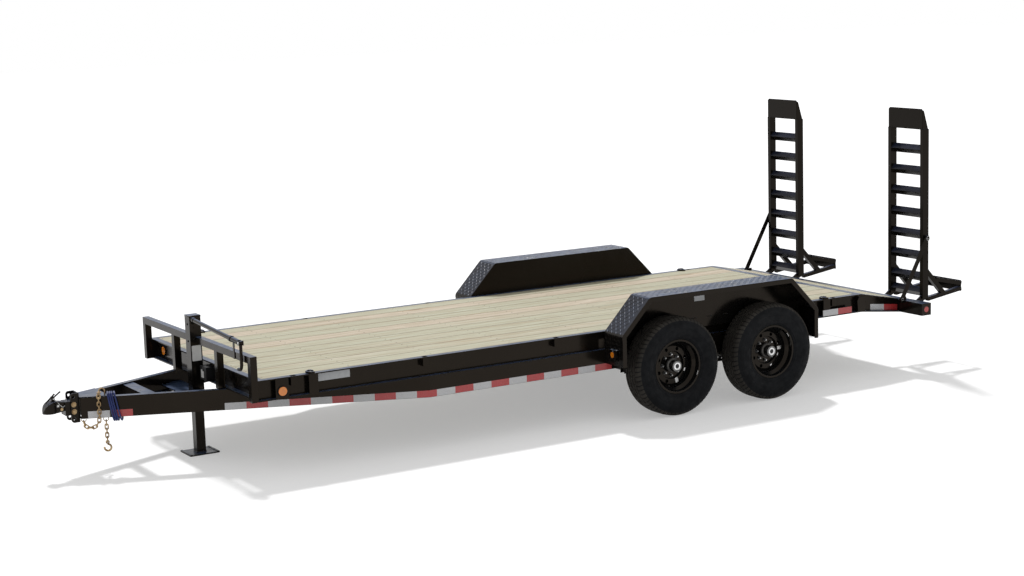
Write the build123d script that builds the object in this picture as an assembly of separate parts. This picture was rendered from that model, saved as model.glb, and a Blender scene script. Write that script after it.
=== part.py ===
"""Tandem-axle car transporter trailer with a dovetail and two stand-up ramps.

Millimetres. +X points forward to the coupler, +Y to the trailer's left, +Z up.
Every builder below works from the front edge of the deck at x = 0, with the
ground at z = 0 and the centre plane at y = 0; save() then moves each node so
that the origin is at the middle of the trailer's length, on the ground.
"""
from build123d import *
import os
from math import atan2, cos, degrees, hypot, pi, radians, sin, sqrt, tan

os.makedirs("parts", exist_ok=True)

# ---------------------------------------------------------------- deck and frame
DECK_H = 706.0            # top of the deck above the ground
RAIL_OUT = 1041.4         # outer flange tips of the main rails from the centre plane
RAIL_D = 152.4            # depth of the main rails and of the front channel
FLANGE = 48.8             # flange width of these channels
WEB = 5.1                 # web thickness
FLANGE_T = 8.7            # flange thickness
DECK_L = 5486.0           # front edge to the kink of the dovetail
TAIL_L = 443.0            # kink to the front of the rear bumper, measured level
TAIL_DROP = 91.0          # how far the deck falls over that length
TAIL_RAIL_D = 112.0       # depth of the rail where it meets the bumper
BOARD_T = 38.0            # deck board thickness
BOARD_N = 11              # boards across the deck
BOARD_GAP = 3.0           # gap between boards
PLATE_GAP = 2.0           # gap between a board's end and steel
KINK_W = 100.0            # steel strip across the deck at the kink
KINK_T = 6.0              # its thickness
CROSS_D = 76.2            # depth of the deck crossmembers
CROSS_F = 36.0            # their flange width
CROSS_T = 5.0             # their thickness
CROSS_N = 9               # crossmembers under the deck
TAIL_CROSS_AT = 148.0     # crossmember under the dovetail, behind the kink
POCKETS = (-275.0, -1328.0, -2462.0, -5190.0)   # stake pockets in each rail
POCKET_L = 40.0           # opening of a stake pocket, along x
POCKET_W = 34.0           # and along y
POCKET_H = 58.0           # its depth under the flange
POCKET_T = 4.8            # strap that forms it
TIE_RINGS = (-425.0, -5110.0)   # tie-down rings on each rail
TIE_PLATE_L = 72.0        # plate that closes the rail under a ring
RAIL_PLATE_T = 5.0        # thickness of plates in the rail's recess
RING_WIRE = 7.5           # tie-down ring's wire radius
RING_R = 37.0             # centre line of its bow
RING_MID_IN = 33.4        # middle of a ring inside the rail's flange tips
CLIP_W = 28.0             # clip that holds a ring, along y
CLIP_CLEAR = 0.3          # ring to clip

# ---------------------------------------------------------------- tongue
TONGUE_D = 152.4          # depth of the tongue rails, which run under the main rails
TONGUE_HALF = 482.0       # outer face of a tongue rail at the deck's front edge
TONGUE_SLOPE = 0.414      # how fast the rails close towards the coupler
TONGUE_END = 957.0        # front end of the tongue rails
LOWER_END = 4770.0        # rear end of the part that runs under the main rail
PLATE_T = 9.5             # tongue plates
COVER_BACK = 765.0        # rear edge of the nose's cover plate
COVER_T = 6.0             # its thickness
COVER_INSET = 6.0         # its edges from the rails' outer faces
TIE_X = 440.0             # rear edge of the tie plate
TIE_L = 92.0              # its length along x
TIE_LOW = 0.5             # tie plate under the top flanges

# ---------------------------------------------------------------- headboard and jack
HEAD_TUBE = 50.0          # square tube of the headboard
HEAD_RISE = 174.0         # its top above the deck
UPRIGHT_Y = 415.0         # inner uprights from the centre plane
JACK_W = 89.0             # outer tube of the jack, square
JACK_TOP = 1040.0         # top of the jack above the ground
JACK_BOTTOM = 375.0       # lower end of the outer tube
JACK_CLEAR = 1.0          # jack to the front channel
LEG_W = 70.0              # inner leg, square
LEG_CLEAR = 0.4           # leg to tube, each side
LEG_IN = 260.0            # how far the leg reaches up into the tube
FOOT_L = 230.0            # foot plate, along x
FOOT_W = 200.0            # foot plate, along y
FOOT_T = 9.5              # foot plate thickness
CRANK_R = 16.0            # crank shaft radius
CRANK_END_IN = 111.4      # crank knuckle inside the headboard's end
CRANK_Z = 1012.0          # crank shaft at the jack
CRANK_SAG = 45.0          # how far the shaft falls to the knuckle
CRANK_AHEAD = 22.0        # shaft ahead of the jack's middle
HANDLE_L = 195.0          # crank handle below the knuckle
CRANK_START = 1.0         # shaft's end to the jack
KNUCKLE_R = 22.0          # knuckle between the shaft and the handle
KNUCKLE_L = 32.0
HANDLE_R = 12.0           # handle and grip
GRIP_IN = 60.0            # grip on the jack's side of the handle
GRIP_OUT = 5.0            # and beyond it
STRAP_IN = 160.0          # strap that carries the shaft on the headboard, from the knuckle
STRAP_W = 24.0
STRAP_T = 6.0
CARRIER_BACK = 60.0       # jack's carrier plate behind its middle
CARRIER_AHEAD = 120.0     # and ahead of it
CARRIER_DROP = 90.0       # its top under the tongue rails' top
CAP_H = 90.0              # solid gear head at the jack's top
SEAT_GAP = 0.3            # pieces that sit beside each other
BOX_Y0 = 78.0             # battery box on the front channel
BOX_Y1 = 193.0
BOX_LOW = 568.0
BOX_H = 102.0
BOX_AHEAD = 40.0          # its front ahead of the deck
BOX_LID_H = 18.0
BOX_LID_LIP = 2.0

# ---------------------------------------------------------------- coupler
NOSE_X = 1209.0           # coupler nose ahead of the deck
BALL_R = 29.4             # 2 5/16 inch ball
SOCKET_CLEAR = 0.4        # ball to socket
COUPLER_W = 94.4          # outer width of the coupler
COUPLER_BOTTOM = 457.0    # lower edge of the coupler
COUPLER_TOP = 540.0       # crown of the coupler
CHANNEL_LOW = 374.0       # adjustable channel, lower end
CHANNEL_HIGH = 588.0      # and upper end
CHANNEL_W = 114.0         # its width
CHANNEL_L = 62.0          # its flanges' length
HOLE_EDGE = 28.0          # end holes from the channel's ends
HOLE_N = 4                # holes in each cheek
HOLE_IN = 22.0            # holes from the cheeks' front edge
BOLT_R = 9.5              # coupler bolts
BOLT_CLEAR = 0.3          # bolts in their holes
BOLT_HEAD_R = 15.0
BOLT_HEAD_H = 10.0
BALL_BACK = 52.0          # ball behind the nose
BALL_UP = 30.0            # ball's centre above the coupler's lower edge
HEAD_R = 52.0             # coupler's head round the ball
NECK_HALF = 33.0          # coupler's neck, half of its width
SHANK_L = 90.0            # shank between the cheeks
LEVER_W = 9.0             # latch lever

# ---------------------------------------------------------------- safety chains
LINK_WIRE = 4.5           # wire radius of a chain link
LINK_BEND = 11.0          # centre line of a link's ends
LINK_STRAIGHT = 18.0      # straight sides of a link
LINK_GAP = 0.6            # between the wires of two links
KEEPER_WIRE = 5.5         # loop on the cover plate
KEEPER_HALF = 20.0
KEEPER_RISE = 28.0        # its straight legs
KEEPER_IN = 42.0          # its front leg behind the rail's outer face
KEEPER_X = 838.0          # rail's outer face beside that leg
CHAIN_Z = 579.5           # first link on that leg
EYE_WIRE = 2.8            # loops under the rails
EYE_HALF = 18.0
EYE_LEG = 9.8
EYE_GAP = 0.9             # slung chain's last link to its loop
SLUNG_EYE_TURN = -8.0     # slung chain's loop, turned to face its last link
EYE_IN = 15.0             # from the rail's outer face
HANG_X = 800.0            # rail's outer face beside the hanging chain's loop
HANG_N = 5                # links of the hanging chain
HOOK_R = 24.0             # hook's centre line
HOOK_WIRE = 7.0
HOOK_EYE = 10.0           # centre line of the hook's eye
HOOK_DROP = 6.0           # hook's top under the eye's lower wire
HOOK_START = 85.0         # degrees from straight ahead to the bow's upper end
HOOK_SWEEP = 285.0        # degrees round the bow, through the rear
# each link of the slung chain: its way along the rail, outwards and up
SLUNG = [(0, 1, 0), (0, 0.985, -0.174), (0, 0.707, -0.707), (0, 0.174, -0.985), (0, -0.375, -0.927),
         (0, -0.276, -0.961), (0.03, -0.035, -1), (0.08, 0, -1), (0.1, 0, -1),
         (0.58, -0.03, -0.81), (0.9, -0.06, -0.43), (0.98, -0.06, 0.05), (0.78, -0.08, 0.61),
         (0.3, -0.08, 0.95)]

# ---------------------------------------------------------------- trailer cable
CABLE_D = 13.0            # cable diameter
COIL_X = 757.0            # rail's outer face beside the foremost turn
COIL_HALF_W = 53.0        # half of a turn's width, across the rail
COIL_HALF_H = 104.0       # half of its height
COIL_SQUARE = 0.55        # how square the turns are, 1 is an ellipse
COIL_LEAN = 17.5          # a turn's top ahead of its middle
COIL_PITCHES = (28.0, 14.5, 14.5, 14.5)   # each turn's step forwards, the rear turn first
COIL_POINTS = 12          # points in each turn
CLIP_S = -190.0           # cable's clamp on the rail's web, behind the foremost turn
CLAMP_L = 56.0            # clamp along the rail
CLAMP_H = 46.0
CLAMP_OUT = 30.0          # clamp's reach from the web
PLUG_R = 21.0             # plug
PLUG_L = 62.0
PLUG_NECK_R = 11.0
PLUG_NECK_L = 26.0

# ---------------------------------------------------------------- rear end and ramps
BUMPER_S = 102.0          # square section of the bumper
BUMPER_WALL = 5.0
BUMPER_SINK = 12.0        # its top under the deck's rear end
RAMP_MID_IN = 460.0       # centre of each ramp from the bumper's end
RAMP_W = 440.0            # ramp width
RAMP_TOP = 2215.0         # upper end of the ramps
RAMP_DEPTH = 64.0         # ramp side rail, along x when it stands up
RAMP_RAIL_W = 38.0        # ramp side rail, along y
RAMP_FRONT_GAP = 127.0    # bumper to the ramp's tread face
HINGE_BACK = 74.0         # hinge pins behind the bumper
HINGE_DROP = 45.0         # hinge pins below the bumper's top
PIN_R = 12.0              # hinge pin radius
PIN_FIT = 0.05            # radial running clearance of a pin
LUG_R = 26.0              # lug and ear radius
LUG_T = 12.0              # ramp lug thickness
EAR_T = 8.0               # bumper ear thickness
EAR_GAP = 1.0             # lug to ear
STEP_PITCH = 182.2        # cleat spacing
STEP_N = 7                # evenly spaced cleats under the tip plate
STEP_LEG = 56.0           # leg of a cleat's angle section
STEP_T = 6.0
STEP_TOP = 176.0          # first cleat's corner under the tip plate
LOW_STEP_Z = 644.0        # corner of the last cleat, by the deck's end
TIP_H = 172.0             # plate at the ramp's upper end
TIP_DEEP = 16.0           # depth of its cheeks at their ends
TIP_IN = 10.0             # tip's cheeks inside the side rails' outer faces
TIP_CHEEK_T = 12.0        # their thickness
TIP_CUT = 14.0            # cut-off corners of the tip plate
KNEE_END = 509.0          # support leg's end plate behind the hinge pins
BRACE_W = 38.0            # brace flat bar
BRACE_T = 9.5
BRACE_FOOT_AHEAD = 26.0   # brace's lower pin ahead of the bumper
BRACE_FOOT_UP = 15.0      # and above its top
BRACE_TOP_Z = 1120.0      # upper pin above the ground
BRACE_PIN_R = 8.0
BRACE_GAP = 17.0          # ramp to the brace's inner face
BRACE_EAR_R = 18.0
BRACE_PIN_OUT = 10.0      # upper pin beyond the brace
KNEE_WELD = 2.0           # support leg's start inside the ramp's rails
KNEE_HALF = 19.0          # half of a support leg's width, along y
KNEE_BAR = 34.0           # depth of its bars
KNEE_UPPER = (95.0, 185.0)    # upper bar's start, behind the ramp and above the pins
KNEE_LOWER = (2.0, 24.0)      # lower bar's start
KNEE_STRUT = (225.0, 285.0)   # strut on the ramp's rail, its edges above the pins
KNEE_STRUT_FOOT = (165.0, 215.0)    # and on the lower bar, behind the ramp
KNEE_TIP = (6.0, 120.0, 75.0)     # bars' ends ahead of the end plate, and above the pins
KNEE_FOOT = (8.0, 50.0, 145.0)    # end plate's thickness, lower and upper edge
KNEE_FOOT_IN = 10.0       # end plate's ends inside the ramp's width

# ---------------------------------------------------------------- running gear
TYRE_R = 391.0            # tyre radius
TYRE_W = 230.0            # tyre section width
TYRE_GAP = 18.6           # tyre to the rail's flange tips
TANDEM_X = 3896.5         # middle of the tandem behind the deck's front
AXLE_PITCH = 932.0        # between the two axles
RIM_R = 203.0             # bead seat radius
RIM_HALF = 84.0           # half of the rim's width over the flanges
WELL_R = 181.0            # rim's well
RIM_T = 6.0               # rim's thickness
DISC_IN = 30.0            # wheel's seat on the hub, inside the tyre's middle
DISC_T = 9.5              # disc's thickness at the studs
STUD_CIRCLE = 82.55       # 8 studs on 6 1/2 inches
STUD_HOLE_R = 8.0
VENT_CIRCLE = 134.0       # round openings in the disc
VENT_R = 14.0
HUB_END = 70.0            # hub's end outside the tyre's middle
HUB_R = 44.0              # hub's barrel
PILOT_R = 56.0            # wheel's bore sits round this
FLANGE_R = 100.0          # hub's flange, behind the disc
AXLE_R = 38.0             # axle tube radius
AXLE_DROP = 116.0         # spindle above the axle tube
ARM_GAP = 1.6             # axle's end arm to the rail's flange tips
ARM_BEHIND = 87.0         # its outer face inside the tyre's middle
SPINDLE_R = 22.0
DRUM_R = 152.0            # brake drum
DRUM_IN = 77.0            # its open edge inside the tyre's middle
DRUM_WALL = 10.0
SPRING_L = 660.0          # eye to eye
SPRING_W = 44.0
LEAF_T = 7.5              # leaf thickness
LEAF_N = 4                # leaves in a pack
EYE_R = 15.0              # spring eyes
EYE_RISE = 59.0           # spring eyes above the axle tube's top
LEAF_STEP = 4             # curve cells that each shorter leaf stops short
CLAMP_GAP = 0.3           # spring to its clamp plate
SPRING_BOLT_R = 8.0
CHEEK_GAP = 0.4           # hanger cheeks to the spring's sides
CHEEK_T = 6.0

# ---------------------------------------------------------------- fenders
FENDER_OVER = 5.0         # fender's outer edge beyond the tyre
FENDER_TOP = 971.0
FENDER_MID_X = 3848.0     # middle of the fender behind the deck's front
FENDER_L = 1915.0         # length over the end panels
FENDER_SLOPE_X = 262.0    # level length of each slope
FENDER_LOW = 455.0        # lower edge of the end panels
FENDER_T = 4.0
FENDER_BEND = 38.0        # outer radius of its folds
FENDER_LIP = 36.0         # turned-down outer lip
KNEE_DROP = 6.0           # corner of slope and end panel below the deck

# ---------------------------------------------------------------- lights
FRONT_LIGHT_IN = 137.6    # round lights in the front channel, from the rail's web
FRONT_LIGHT_Z = 627.0
ROUND_R = 32.0            # lens of a 2 1/2 inch light
LENS_T = 10.0             # lens thickness
RUBBER = 6.0              # rubber ring round a lens
SIDE_LIGHT_X = -181.0     # light on a plate in each rail
SIDE_LIGHT_Z = 610.0
SIDE_PLATE_L = 100.0
MARKER_R = 22.0           # small marker lights
MARKER_IN = 95.0          # marker in front of each fender, from its outer edge
MARKER_Z = 548.0
MARKER_PLATE_W = 90.0     # its bracket
MARKER_PLATE_R = 36.0
MARKER_TOP = 585.0
MARKER_AHEAD = 28.0       # bracket's face ahead of the fender
END_LIGHT_R = 24.0        # lights in the bumper's ends
LIGHT_DEPTH = 12.0        # lens depth of lights let into the bumper
LIGHT_CLEAR = 0.3         # lens to its hole
TAIL_LIGHT_L = 165.0      # oval tail lights
TAIL_LIGHT_H = 57.0
TAIL_LIGHT_IN = 115.0     # their middle from the bumper's end
ID_LIGHT_R = 19.0         # three small lights in the middle
ID_LIGHT_PITCH = 150.0

# ---------------------------------------------------------------- derived places
BUMPER_X = -(DECK_L + TAIL_L)                    # front of the bumper
BUMPER_BACK = BUMPER_X - BUMPER_S
TAIL_TOP = DECK_H - TAIL_DROP                    # deck's height at its rear end
BUMPER_TOP = TAIL_TOP - BUMPER_SINK
HINGE_X = BUMPER_BACK - HINGE_BACK
HINGE_Z = BUMPER_TOP - HINGE_DROP
RAMP_FACE = BUMPER_BACK - RAMP_FRONT_GAP         # tread face of a standing ramp
TAIL_END = HINGE_X - KNEE_END
SHIFT = -(NOSE_X + TAIL_END) / 2                 # puts the middle of the length at x = 0
RAIL_IN = RAIL_OUT - FLANGE                      # inner face of the main rail's web
TYRE_MID = RAIL_OUT + TYRE_GAP + TYRE_W / 2      # middle of the tyres from the centre plane
FENDER_IN = RAIL_OUT                             # fender's inner face, on the rail's flange tips
FENDER_OUT = TYRE_MID + TYRE_W / 2 + FENDER_OVER
BUMPER_HALF = FENDER_OUT                         # half of the rear bumper's width
TAIL_LIGHT_Y = BUMPER_HALF - TAIL_LIGHT_IN
RAMP_MID = BUMPER_HALF - RAMP_MID_IN             # centre of each ramp from the centre plane
MARKER_Y = FENDER_OUT - MARKER_IN
FRONT_LIGHT_Y = RAIL_IN - FRONT_LIGHT_IN
RING_MID_Y = RAIL_OUT - RING_MID_IN
CRANK_REACH = RAIL_OUT - CRANK_END_IN            # crank knuckle from the centre plane
STRAP_Y = CRANK_REACH - STRAP_IN
RAIL_LOW = DECK_H - RAIL_D
POCKET_FACE = RAIL_OUT - POCKET_T                # inner face of a stake pocket's strap
TONGUE_LOW = RAIL_LOW - TONGUE_D
JACK_X = JACK_CLEAR + JACK_W / 2
AXLES = {"front": -TANDEM_X + AXLE_PITCH / 2, "rear": -TANDEM_X - AXLE_PITCH / 2}
SIDES = {"left": 1, "right": -1}
SLANT = hypot(1, TONGUE_SLOPE)                   # length along a tongue rail for each unit of x
ALONG = Vector(1 / SLANT, -TONGUE_SLOPE / SLANT, 0)      # way forwards along the left tongue rail
OUTWARD = Vector(TONGUE_SLOPE / SLANT, 1 / SLANT, 0)     # way out of its face
LIGHT_Z = BUMPER_TOP - BUMPER_S / 2
BALL_X = NOSE_X - BALL_BACK
BOLT_X = TONGUE_END + CHANNEL_L - HOLE_IN

written = []


def block(x0, x1, y0, y1, z0, z1):
    """A box between two corners, given in any order."""
    size = (abs(x1 - x0), abs(y1 - y0), abs(z1 - z0))
    return Pos((x0 + x1) / 2, (y0 + y1) / 2, (z0 + z1) / 2) * Box(*size)


def rod_y(radius, y0, y1, x, z):
    """A cylinder along y."""
    return Pos(x, (y0 + y1) / 2, z) * Rot(90, 0, 0) * Cylinder(radius, abs(y1 - y0))


def rod_x(radius, x0, x1, y, z):
    """A cylinder along x."""
    return Pos((x0 + x1) / 2, y, z) * Rot(0, 90, 0) * Cylinder(radius, abs(x1 - x0))


def rod_z(radius, z0, z1, x, y):
    """A cylinder along z."""
    return Pos(x, y, (z0 + z1) / 2) * Cylinder(radius, abs(z1 - z0))


def rod(radius, start, end):
    """A cylinder between two points."""
    direction = Vector(*end) - Vector(*start)
    return extrude(Plane(origin=start, z_dir=direction) * Circle(radius), amount=direction.length)


def side_plate(points, y0, y1):
    """A plate with the given (x, z) outline between two y planes."""
    face = make_face(Polyline(*[(x, 0, z) for x, z in points], close=True))
    solid = extrude(face, amount=abs(y1 - y0), dir=(0, 1, 0))
    return Pos(0, min(y0, y1), 0) * solid


def bent_plate(points, radius, y0, y1):
    """A plate like side_plate, with every corner rounded apart from the first and last point."""
    first, *_, last = corners = [(x, 0, z) for x, z in points]
    outline = FilletPolyline(*corners, radius=radius).edges() + Line(last, first).edges()
    solid = extrude(make_face(outline), amount=abs(y1 - y0), dir=(0, 1, 0))
    return Pos(0, min(y0, y1), 0) * solid


def top_plate(points, z0, z1):
    """A plate with the given (x, y) outline between two z planes."""
    face = make_face(Polyline(*[(x, y, 0) for x, y in points], close=True))
    return Pos(0, 0, min(z0, z1)) * extrude(face, amount=abs(z1 - z0), dir=(0, 0, 1))


def bar(x0, z0, x1, z1, width, y0, y1):
    """A flat bar of the given width from one (x, z) point to another."""
    length = hypot(x1 - x0, z1 - z0)
    turn = degrees(atan2(z1 - z0, x1 - x0))
    body = Box(length, abs(y1 - y0), width)
    return Pos((x0 + x1) / 2, (y0 + y1) / 2, (z0 + z1) / 2) * Rot(0, -turn, 0) * body


def to_side(shape, side):
    """Left pieces are modelled; right ones are their mirror image."""
    return shape if side > 0 else mirror(shape, about=Plane.XZ)


def both(shape):
    """A left piece and its mirror image."""
    return [shape, mirror(shape, about=Plane.XZ)]


def solids_of(items):
    found = []
    for item in items if isinstance(items, (list, tuple)) else [items]:
        found += list(item.solids())
    return found


def save(name, items):
    """Write one node, moved so that the origin is at the middle of the length."""
    parts = [Pos(SHIFT, 0, 0) * solid for solid in solids_of(items)]
    node = parts[0] if len(parts) == 1 else Compound(children=parts)
    export_step(node, f"parts/{name}.step")
    written.append(name)


# ---------------------------------------------------------------- main frame
def deck_z(x):
    """Height of the deck's surface at x."""
    past = max(0.0, -x - DECK_L)
    return DECK_H - past * TAIL_DROP / TAIL_L


def main_rail():
    """Left main rail: a channel with its flanges outwards, kinked down at the dovetail."""
    low_end = TAIL_TOP - TAIL_RAIL_D
    top = [(0, DECK_H), (-DECK_L, DECK_H), (BUMPER_X, TAIL_TOP)]
    low = [(BUMPER_X, low_end), (-DECK_L, RAIL_LOW), (0, RAIL_LOW)]
    web = side_plate(top + low, RAIL_IN, RAIL_IN + WEB)
    under_top = [(x, z - FLANGE_T) for x, z in reversed(top)]
    over_low = [(x, z + FLANGE_T) for x, z in reversed(low)]
    upper = side_plate(top + under_top, RAIL_IN, RAIL_OUT)
    lower = side_plate(low + over_low, RAIL_IN, RAIL_OUT)
    body = web + upper + lower
    for x in POCKETS:
        body -= block(x - POCKET_L / 2, x + POCKET_L / 2, POCKET_FACE - POCKET_W, POCKET_FACE,
                      DECK_H - FLANGE_T, DECK_H)
    return body


def stake_pocket(x):
    """Left stake pocket: a strap bent round the opening, under the rail's top flange."""
    half = POCKET_L / 2
    z0, z1 = DECK_H - FLANGE_T - POCKET_H, DECK_H - FLANGE_T
    outer = block(x - half - POCKET_T, x + half + POCKET_T, RAIL_IN + WEB, POCKET_FACE + POCKET_T, z0, z1)
    return outer - block(x - half, x + half, RAIL_IN + WEB, POCKET_FACE, z0, z1)


def tie_plate(x):
    """Left plate that closes the rail's recess under a tie-down ring, and the ring's clip."""
    plate = block(x - TIE_PLATE_L / 2, x + TIE_PLATE_L / 2, RAIL_OUT - RAIL_PLATE_T, RAIL_OUT,
                  RAIL_LOW + FLANGE_T, DECK_H - FLANGE_T)
    bore = RING_WIRE + CLIP_CLEAR
    z = DECK_H + bore
    half = bore + RAIL_PLATE_T
    y0, y1 = RING_MID_Y - CLIP_W / 2, RING_MID_Y + CLIP_W / 2
    clip = block(x - half, x + half, y0, y1, DECK_H, z) + rod_y(half, y0, y1, x, z)
    clip -= block(x - half, x + half, y0, y1, DECK_H - half, DECK_H)
    clip -= block(x - bore, x + bore, y0, y1, DECK_H, z)
    return [plate, clip - rod_y(bore, y0, y1, x, z)]


def tie_ring(x):
    """Left tie-down ring: a straight bar in its clip and a bow that lies forwards on the deck."""
    z = DECK_H + RING_WIRE + CLIP_CLEAR
    bow = Pos(x, RING_MID_Y, z) * Rot(0, 0, -90) * half_ring(RING_R, RING_WIRE)
    straight = rod_y(RING_WIRE, RING_MID_Y - RING_R - RING_WIRE, RING_MID_Y + RING_R + RING_WIRE, x, z)
    return straight + bow


def front_crossmember():
    """Channel across the deck's front, flanges forward."""
    web = block(-FLANGE, -FLANGE + WEB, -RAIL_IN, RAIL_IN, RAIL_LOW, DECK_H)
    upper = block(-FLANGE, 0, -RAIL_IN, RAIL_IN, DECK_H - FLANGE_T, DECK_H)
    lower = block(-FLANGE, 0, -RAIL_IN, RAIL_IN, RAIL_LOW, RAIL_LOW + FLANGE_T)
    return web + upper + lower


def crossmember(x):
    """Channel under the boards, between the main rails' webs, its top along the deck's slope."""
    def run(x0, x1, over, under):
        line = [(x0, deck_z(x0) - over), (x1, deck_z(x1) - over)]
        return side_plate(line + [(x1, deck_z(x1) - under), (x0, deck_z(x0) - under)], -RAIL_IN, RAIL_IN)

    low = BOARD_T + CROSS_D
    web = run(x, x + CROSS_T, BOARD_T, low)
    upper = run(x, x + CROSS_F, BOARD_T, BOARD_T + CROSS_T)
    lower = run(x, x + CROSS_F, low - CROSS_T, low)
    return web + upper + lower


def deck_crossmembers():
    """Channels under the level deck, the last one at the kink, and two under the dovetail."""
    first = -FLANGE - PLATE_GAP - CROSS_F
    last = -DECK_L + 1.0
    step = (last - first) / (CROSS_N - 1)
    level = [crossmember(first + i * step) for i in range(CROSS_N)]
    tail = [-DECK_L - TAIL_CROSS_AT, BUMPER_X + PLATE_GAP]
    return level + [crossmember(x) for x in tail]


def kink_strip():
    """Steel strip across the deck at the kink, bent to both slopes."""
    ahead = -DECK_L + KINK_W / 2
    behind = -DECK_L - KINK_W / 2
    line = [(ahead, DECK_H), (-DECK_L, DECK_H), (behind, deck_z(behind))]
    under = [(x, z - KINK_T) for x, z in reversed(line)]
    return side_plate(line + under, -RAIL_IN, RAIL_IN)


def boards(x0, x1):
    """Boards side by side between the main rails, along x, flush with the rails."""
    pitch = (2 * RAIL_IN - BOARD_GAP) / BOARD_N
    found = []
    for i in range(BOARD_N):
        y0 = -RAIL_IN + BOARD_GAP + i * pitch
        line = [(x0, deck_z(x0)), (x1, deck_z(x1))]
        under = [(x, z - BOARD_T) for x, z in reversed(line)]
        found.append(side_plate(line + under, y0, y0 + pitch - BOARD_GAP))
    return found


def lower_rail():
    """Left tongue rail: splayed from the coupler, then under the main rail.

    Its outer web is smooth and meets the main rail's outer plane at the bend.
    """
    bend_x = -(RAIL_OUT - TONGUE_HALF) / TONGUE_SLOPE
    slant = hypot(1, TONGUE_SLOPE)
    outer = [
        (TONGUE_END, TONGUE_HALF - TONGUE_SLOPE * TONGUE_END),
        (bend_x, RAIL_OUT),
        (-LOWER_END, RAIL_OUT),
    ]

    def inset(depth):
        """The outer line moved inwards by a depth, square to each run."""
        turn = atan2(TONGUE_SLOPE, 1)
        return [
            (outer[0][0], outer[0][1] - depth * slant),
            (outer[1][0] + depth * tan(turn / 2), outer[1][1] - depth),
            (outer[2][0], outer[2][1] - depth),
        ]

    web = top_plate(outer + inset(WEB)[::-1], TONGUE_LOW, RAIL_LOW)
    upper = top_plate(outer + inset(FLANGE)[::-1], RAIL_LOW - FLANGE_T, RAIL_LOW)
    lower = top_plate(outer + inset(FLANGE)[::-1], TONGUE_LOW, TONGUE_LOW + FLANGE_T)
    return web + upper + lower


def tongue_outer_y(x):
    """Outer face of the left tongue rail at x."""
    return TONGUE_HALF - TONGUE_SLOPE * x


def tongue_plates():
    """Cover plate over the tongue's nose and a tie plate between the rails' webs."""
    def across(x0, x1, inset, z0, z1):
        y0 = tongue_outer_y(x0) - inset
        y1 = tongue_outer_y(x1) - inset
        return top_plate([(x0, -y0), (x0, y0), (x1, y1), (x1, -y1)], z0, z1)

    cover = across(COVER_BACK, TONGUE_END, COVER_INSET, RAIL_LOW, RAIL_LOW + COVER_T)
    tie_top = RAIL_LOW - FLANGE_T - TIE_LOW
    tie = across(TIE_X, TIE_X + TIE_L, (WEB + 1.0) * SLANT, tie_top - PLATE_T, tie_top)
    return [cover, tie]


# ---------------------------------------------------------------- headboard and jack
def headboard():
    """Two end posts, two inner uprights and a top tube that meets the jack's sides."""
    top = DECK_H + HEAD_RISE
    half = RAIL_OUT
    frame = block(0, HEAD_TUBE, JACK_W / 2 + SEAT_GAP, half, top - HEAD_TUBE, top)
    frame += block(0, HEAD_TUBE, half - HEAD_TUBE, half, RAIL_LOW, top)
    upright = block(0, HEAD_TUBE, UPRIGHT_Y - HEAD_TUBE / 2, UPRIGHT_Y + HEAD_TUBE / 2, RAIL_LOW, top)
    left, right = both(frame + upright)
    return [left + crank_strap(), right]


def jack_body():
    """Square outer tube with its gear head, carried by a plate between the tongue rails."""
    half = JACK_W / 2
    tube = block(JACK_X - half, JACK_X + half, -half, half, JACK_BOTTOM, JACK_TOP)
    bore = LEG_W / 2 + LEG_CLEAR
    tube -= block(JACK_X - bore, JACK_X + bore, -bore, bore, JACK_BOTTOM - 1, JACK_TOP - CAP_H)
    x0, x1 = JACK_X - CARRIER_BACK, JACK_X + CARRIER_AHEAD
    y0, y1 = (tongue_outer_y(x) - WEB * SLANT - SEAT_GAP for x in (x0, x1))
    top = RAIL_LOW - CARRIER_DROP
    plate = top_plate([(x0, -y0), (x0, y0), (x1, y1), (x1, -y1)], top - PLATE_T, top)
    plate -= block(JACK_X - half, JACK_X + half, -half, half, top - 2 * PLATE_T, top + PLATE_T)
    return tube + plate


def jack_leg():
    """Inner leg on its foot plate, standing on the ground."""
    half = LEG_W / 2
    leg = block(JACK_X - half, JACK_X + half, -half, half, FOOT_T, JACK_BOTTOM + LEG_IN)
    foot = block(JACK_X - FOOT_L / 2, JACK_X + FOOT_L / 2, -FOOT_W / 2, FOOT_W / 2, 0, FOOT_T)
    return leg + foot


def crank_at(y):
    """A point on the crank shaft's axis."""
    along = (y - JACK_W / 2) / (CRANK_REACH - JACK_W / 2)
    return (JACK_X + CRANK_AHEAD, y, CRANK_Z - CRANK_SAG * along)


def jack_crank():
    """Side-wind crank: a long shaft to the left and a handle that hangs down."""
    x, y, z = crank_at(CRANK_REACH)
    shaft = rod(CRANK_R, crank_at(JACK_W / 2 + CRANK_START), crank_at(CRANK_REACH))
    knuckle = rod_x(KNUCKLE_R, x - KNUCKLE_L / 2, x + KNUCKLE_L / 2, y, z)
    handle = rod_z(HANDLE_R, z - HANDLE_L, z, x, y)
    grip = rod_y(HANDLE_R, y - GRIP_IN, y + GRIP_OUT, x, z - HANDLE_L)
    return shaft + knuckle + handle + grip


def crank_strap():
    """Strap on the headboard with a ring round the crank shaft."""
    x, y, z = crank_at(STRAP_Y)
    y0, y1 = y - STRAP_W / 2, y + STRAP_W / 2
    ring = rod_y(CRANK_R + STRAP_T, y0, y1, x, z)
    ahead = max(HEAD_TUBE + STRAP_T, x - CRANK_R - STRAP_T / 2)
    ring += block(HEAD_TUBE, ahead, y0, y1, DECK_H + HEAD_RISE - HEAD_TUBE, z)
    return ring - rod(CRANK_R + 1.0, crank_at(y0 - STRAP_W), crank_at(y1 + STRAP_W))


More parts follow.
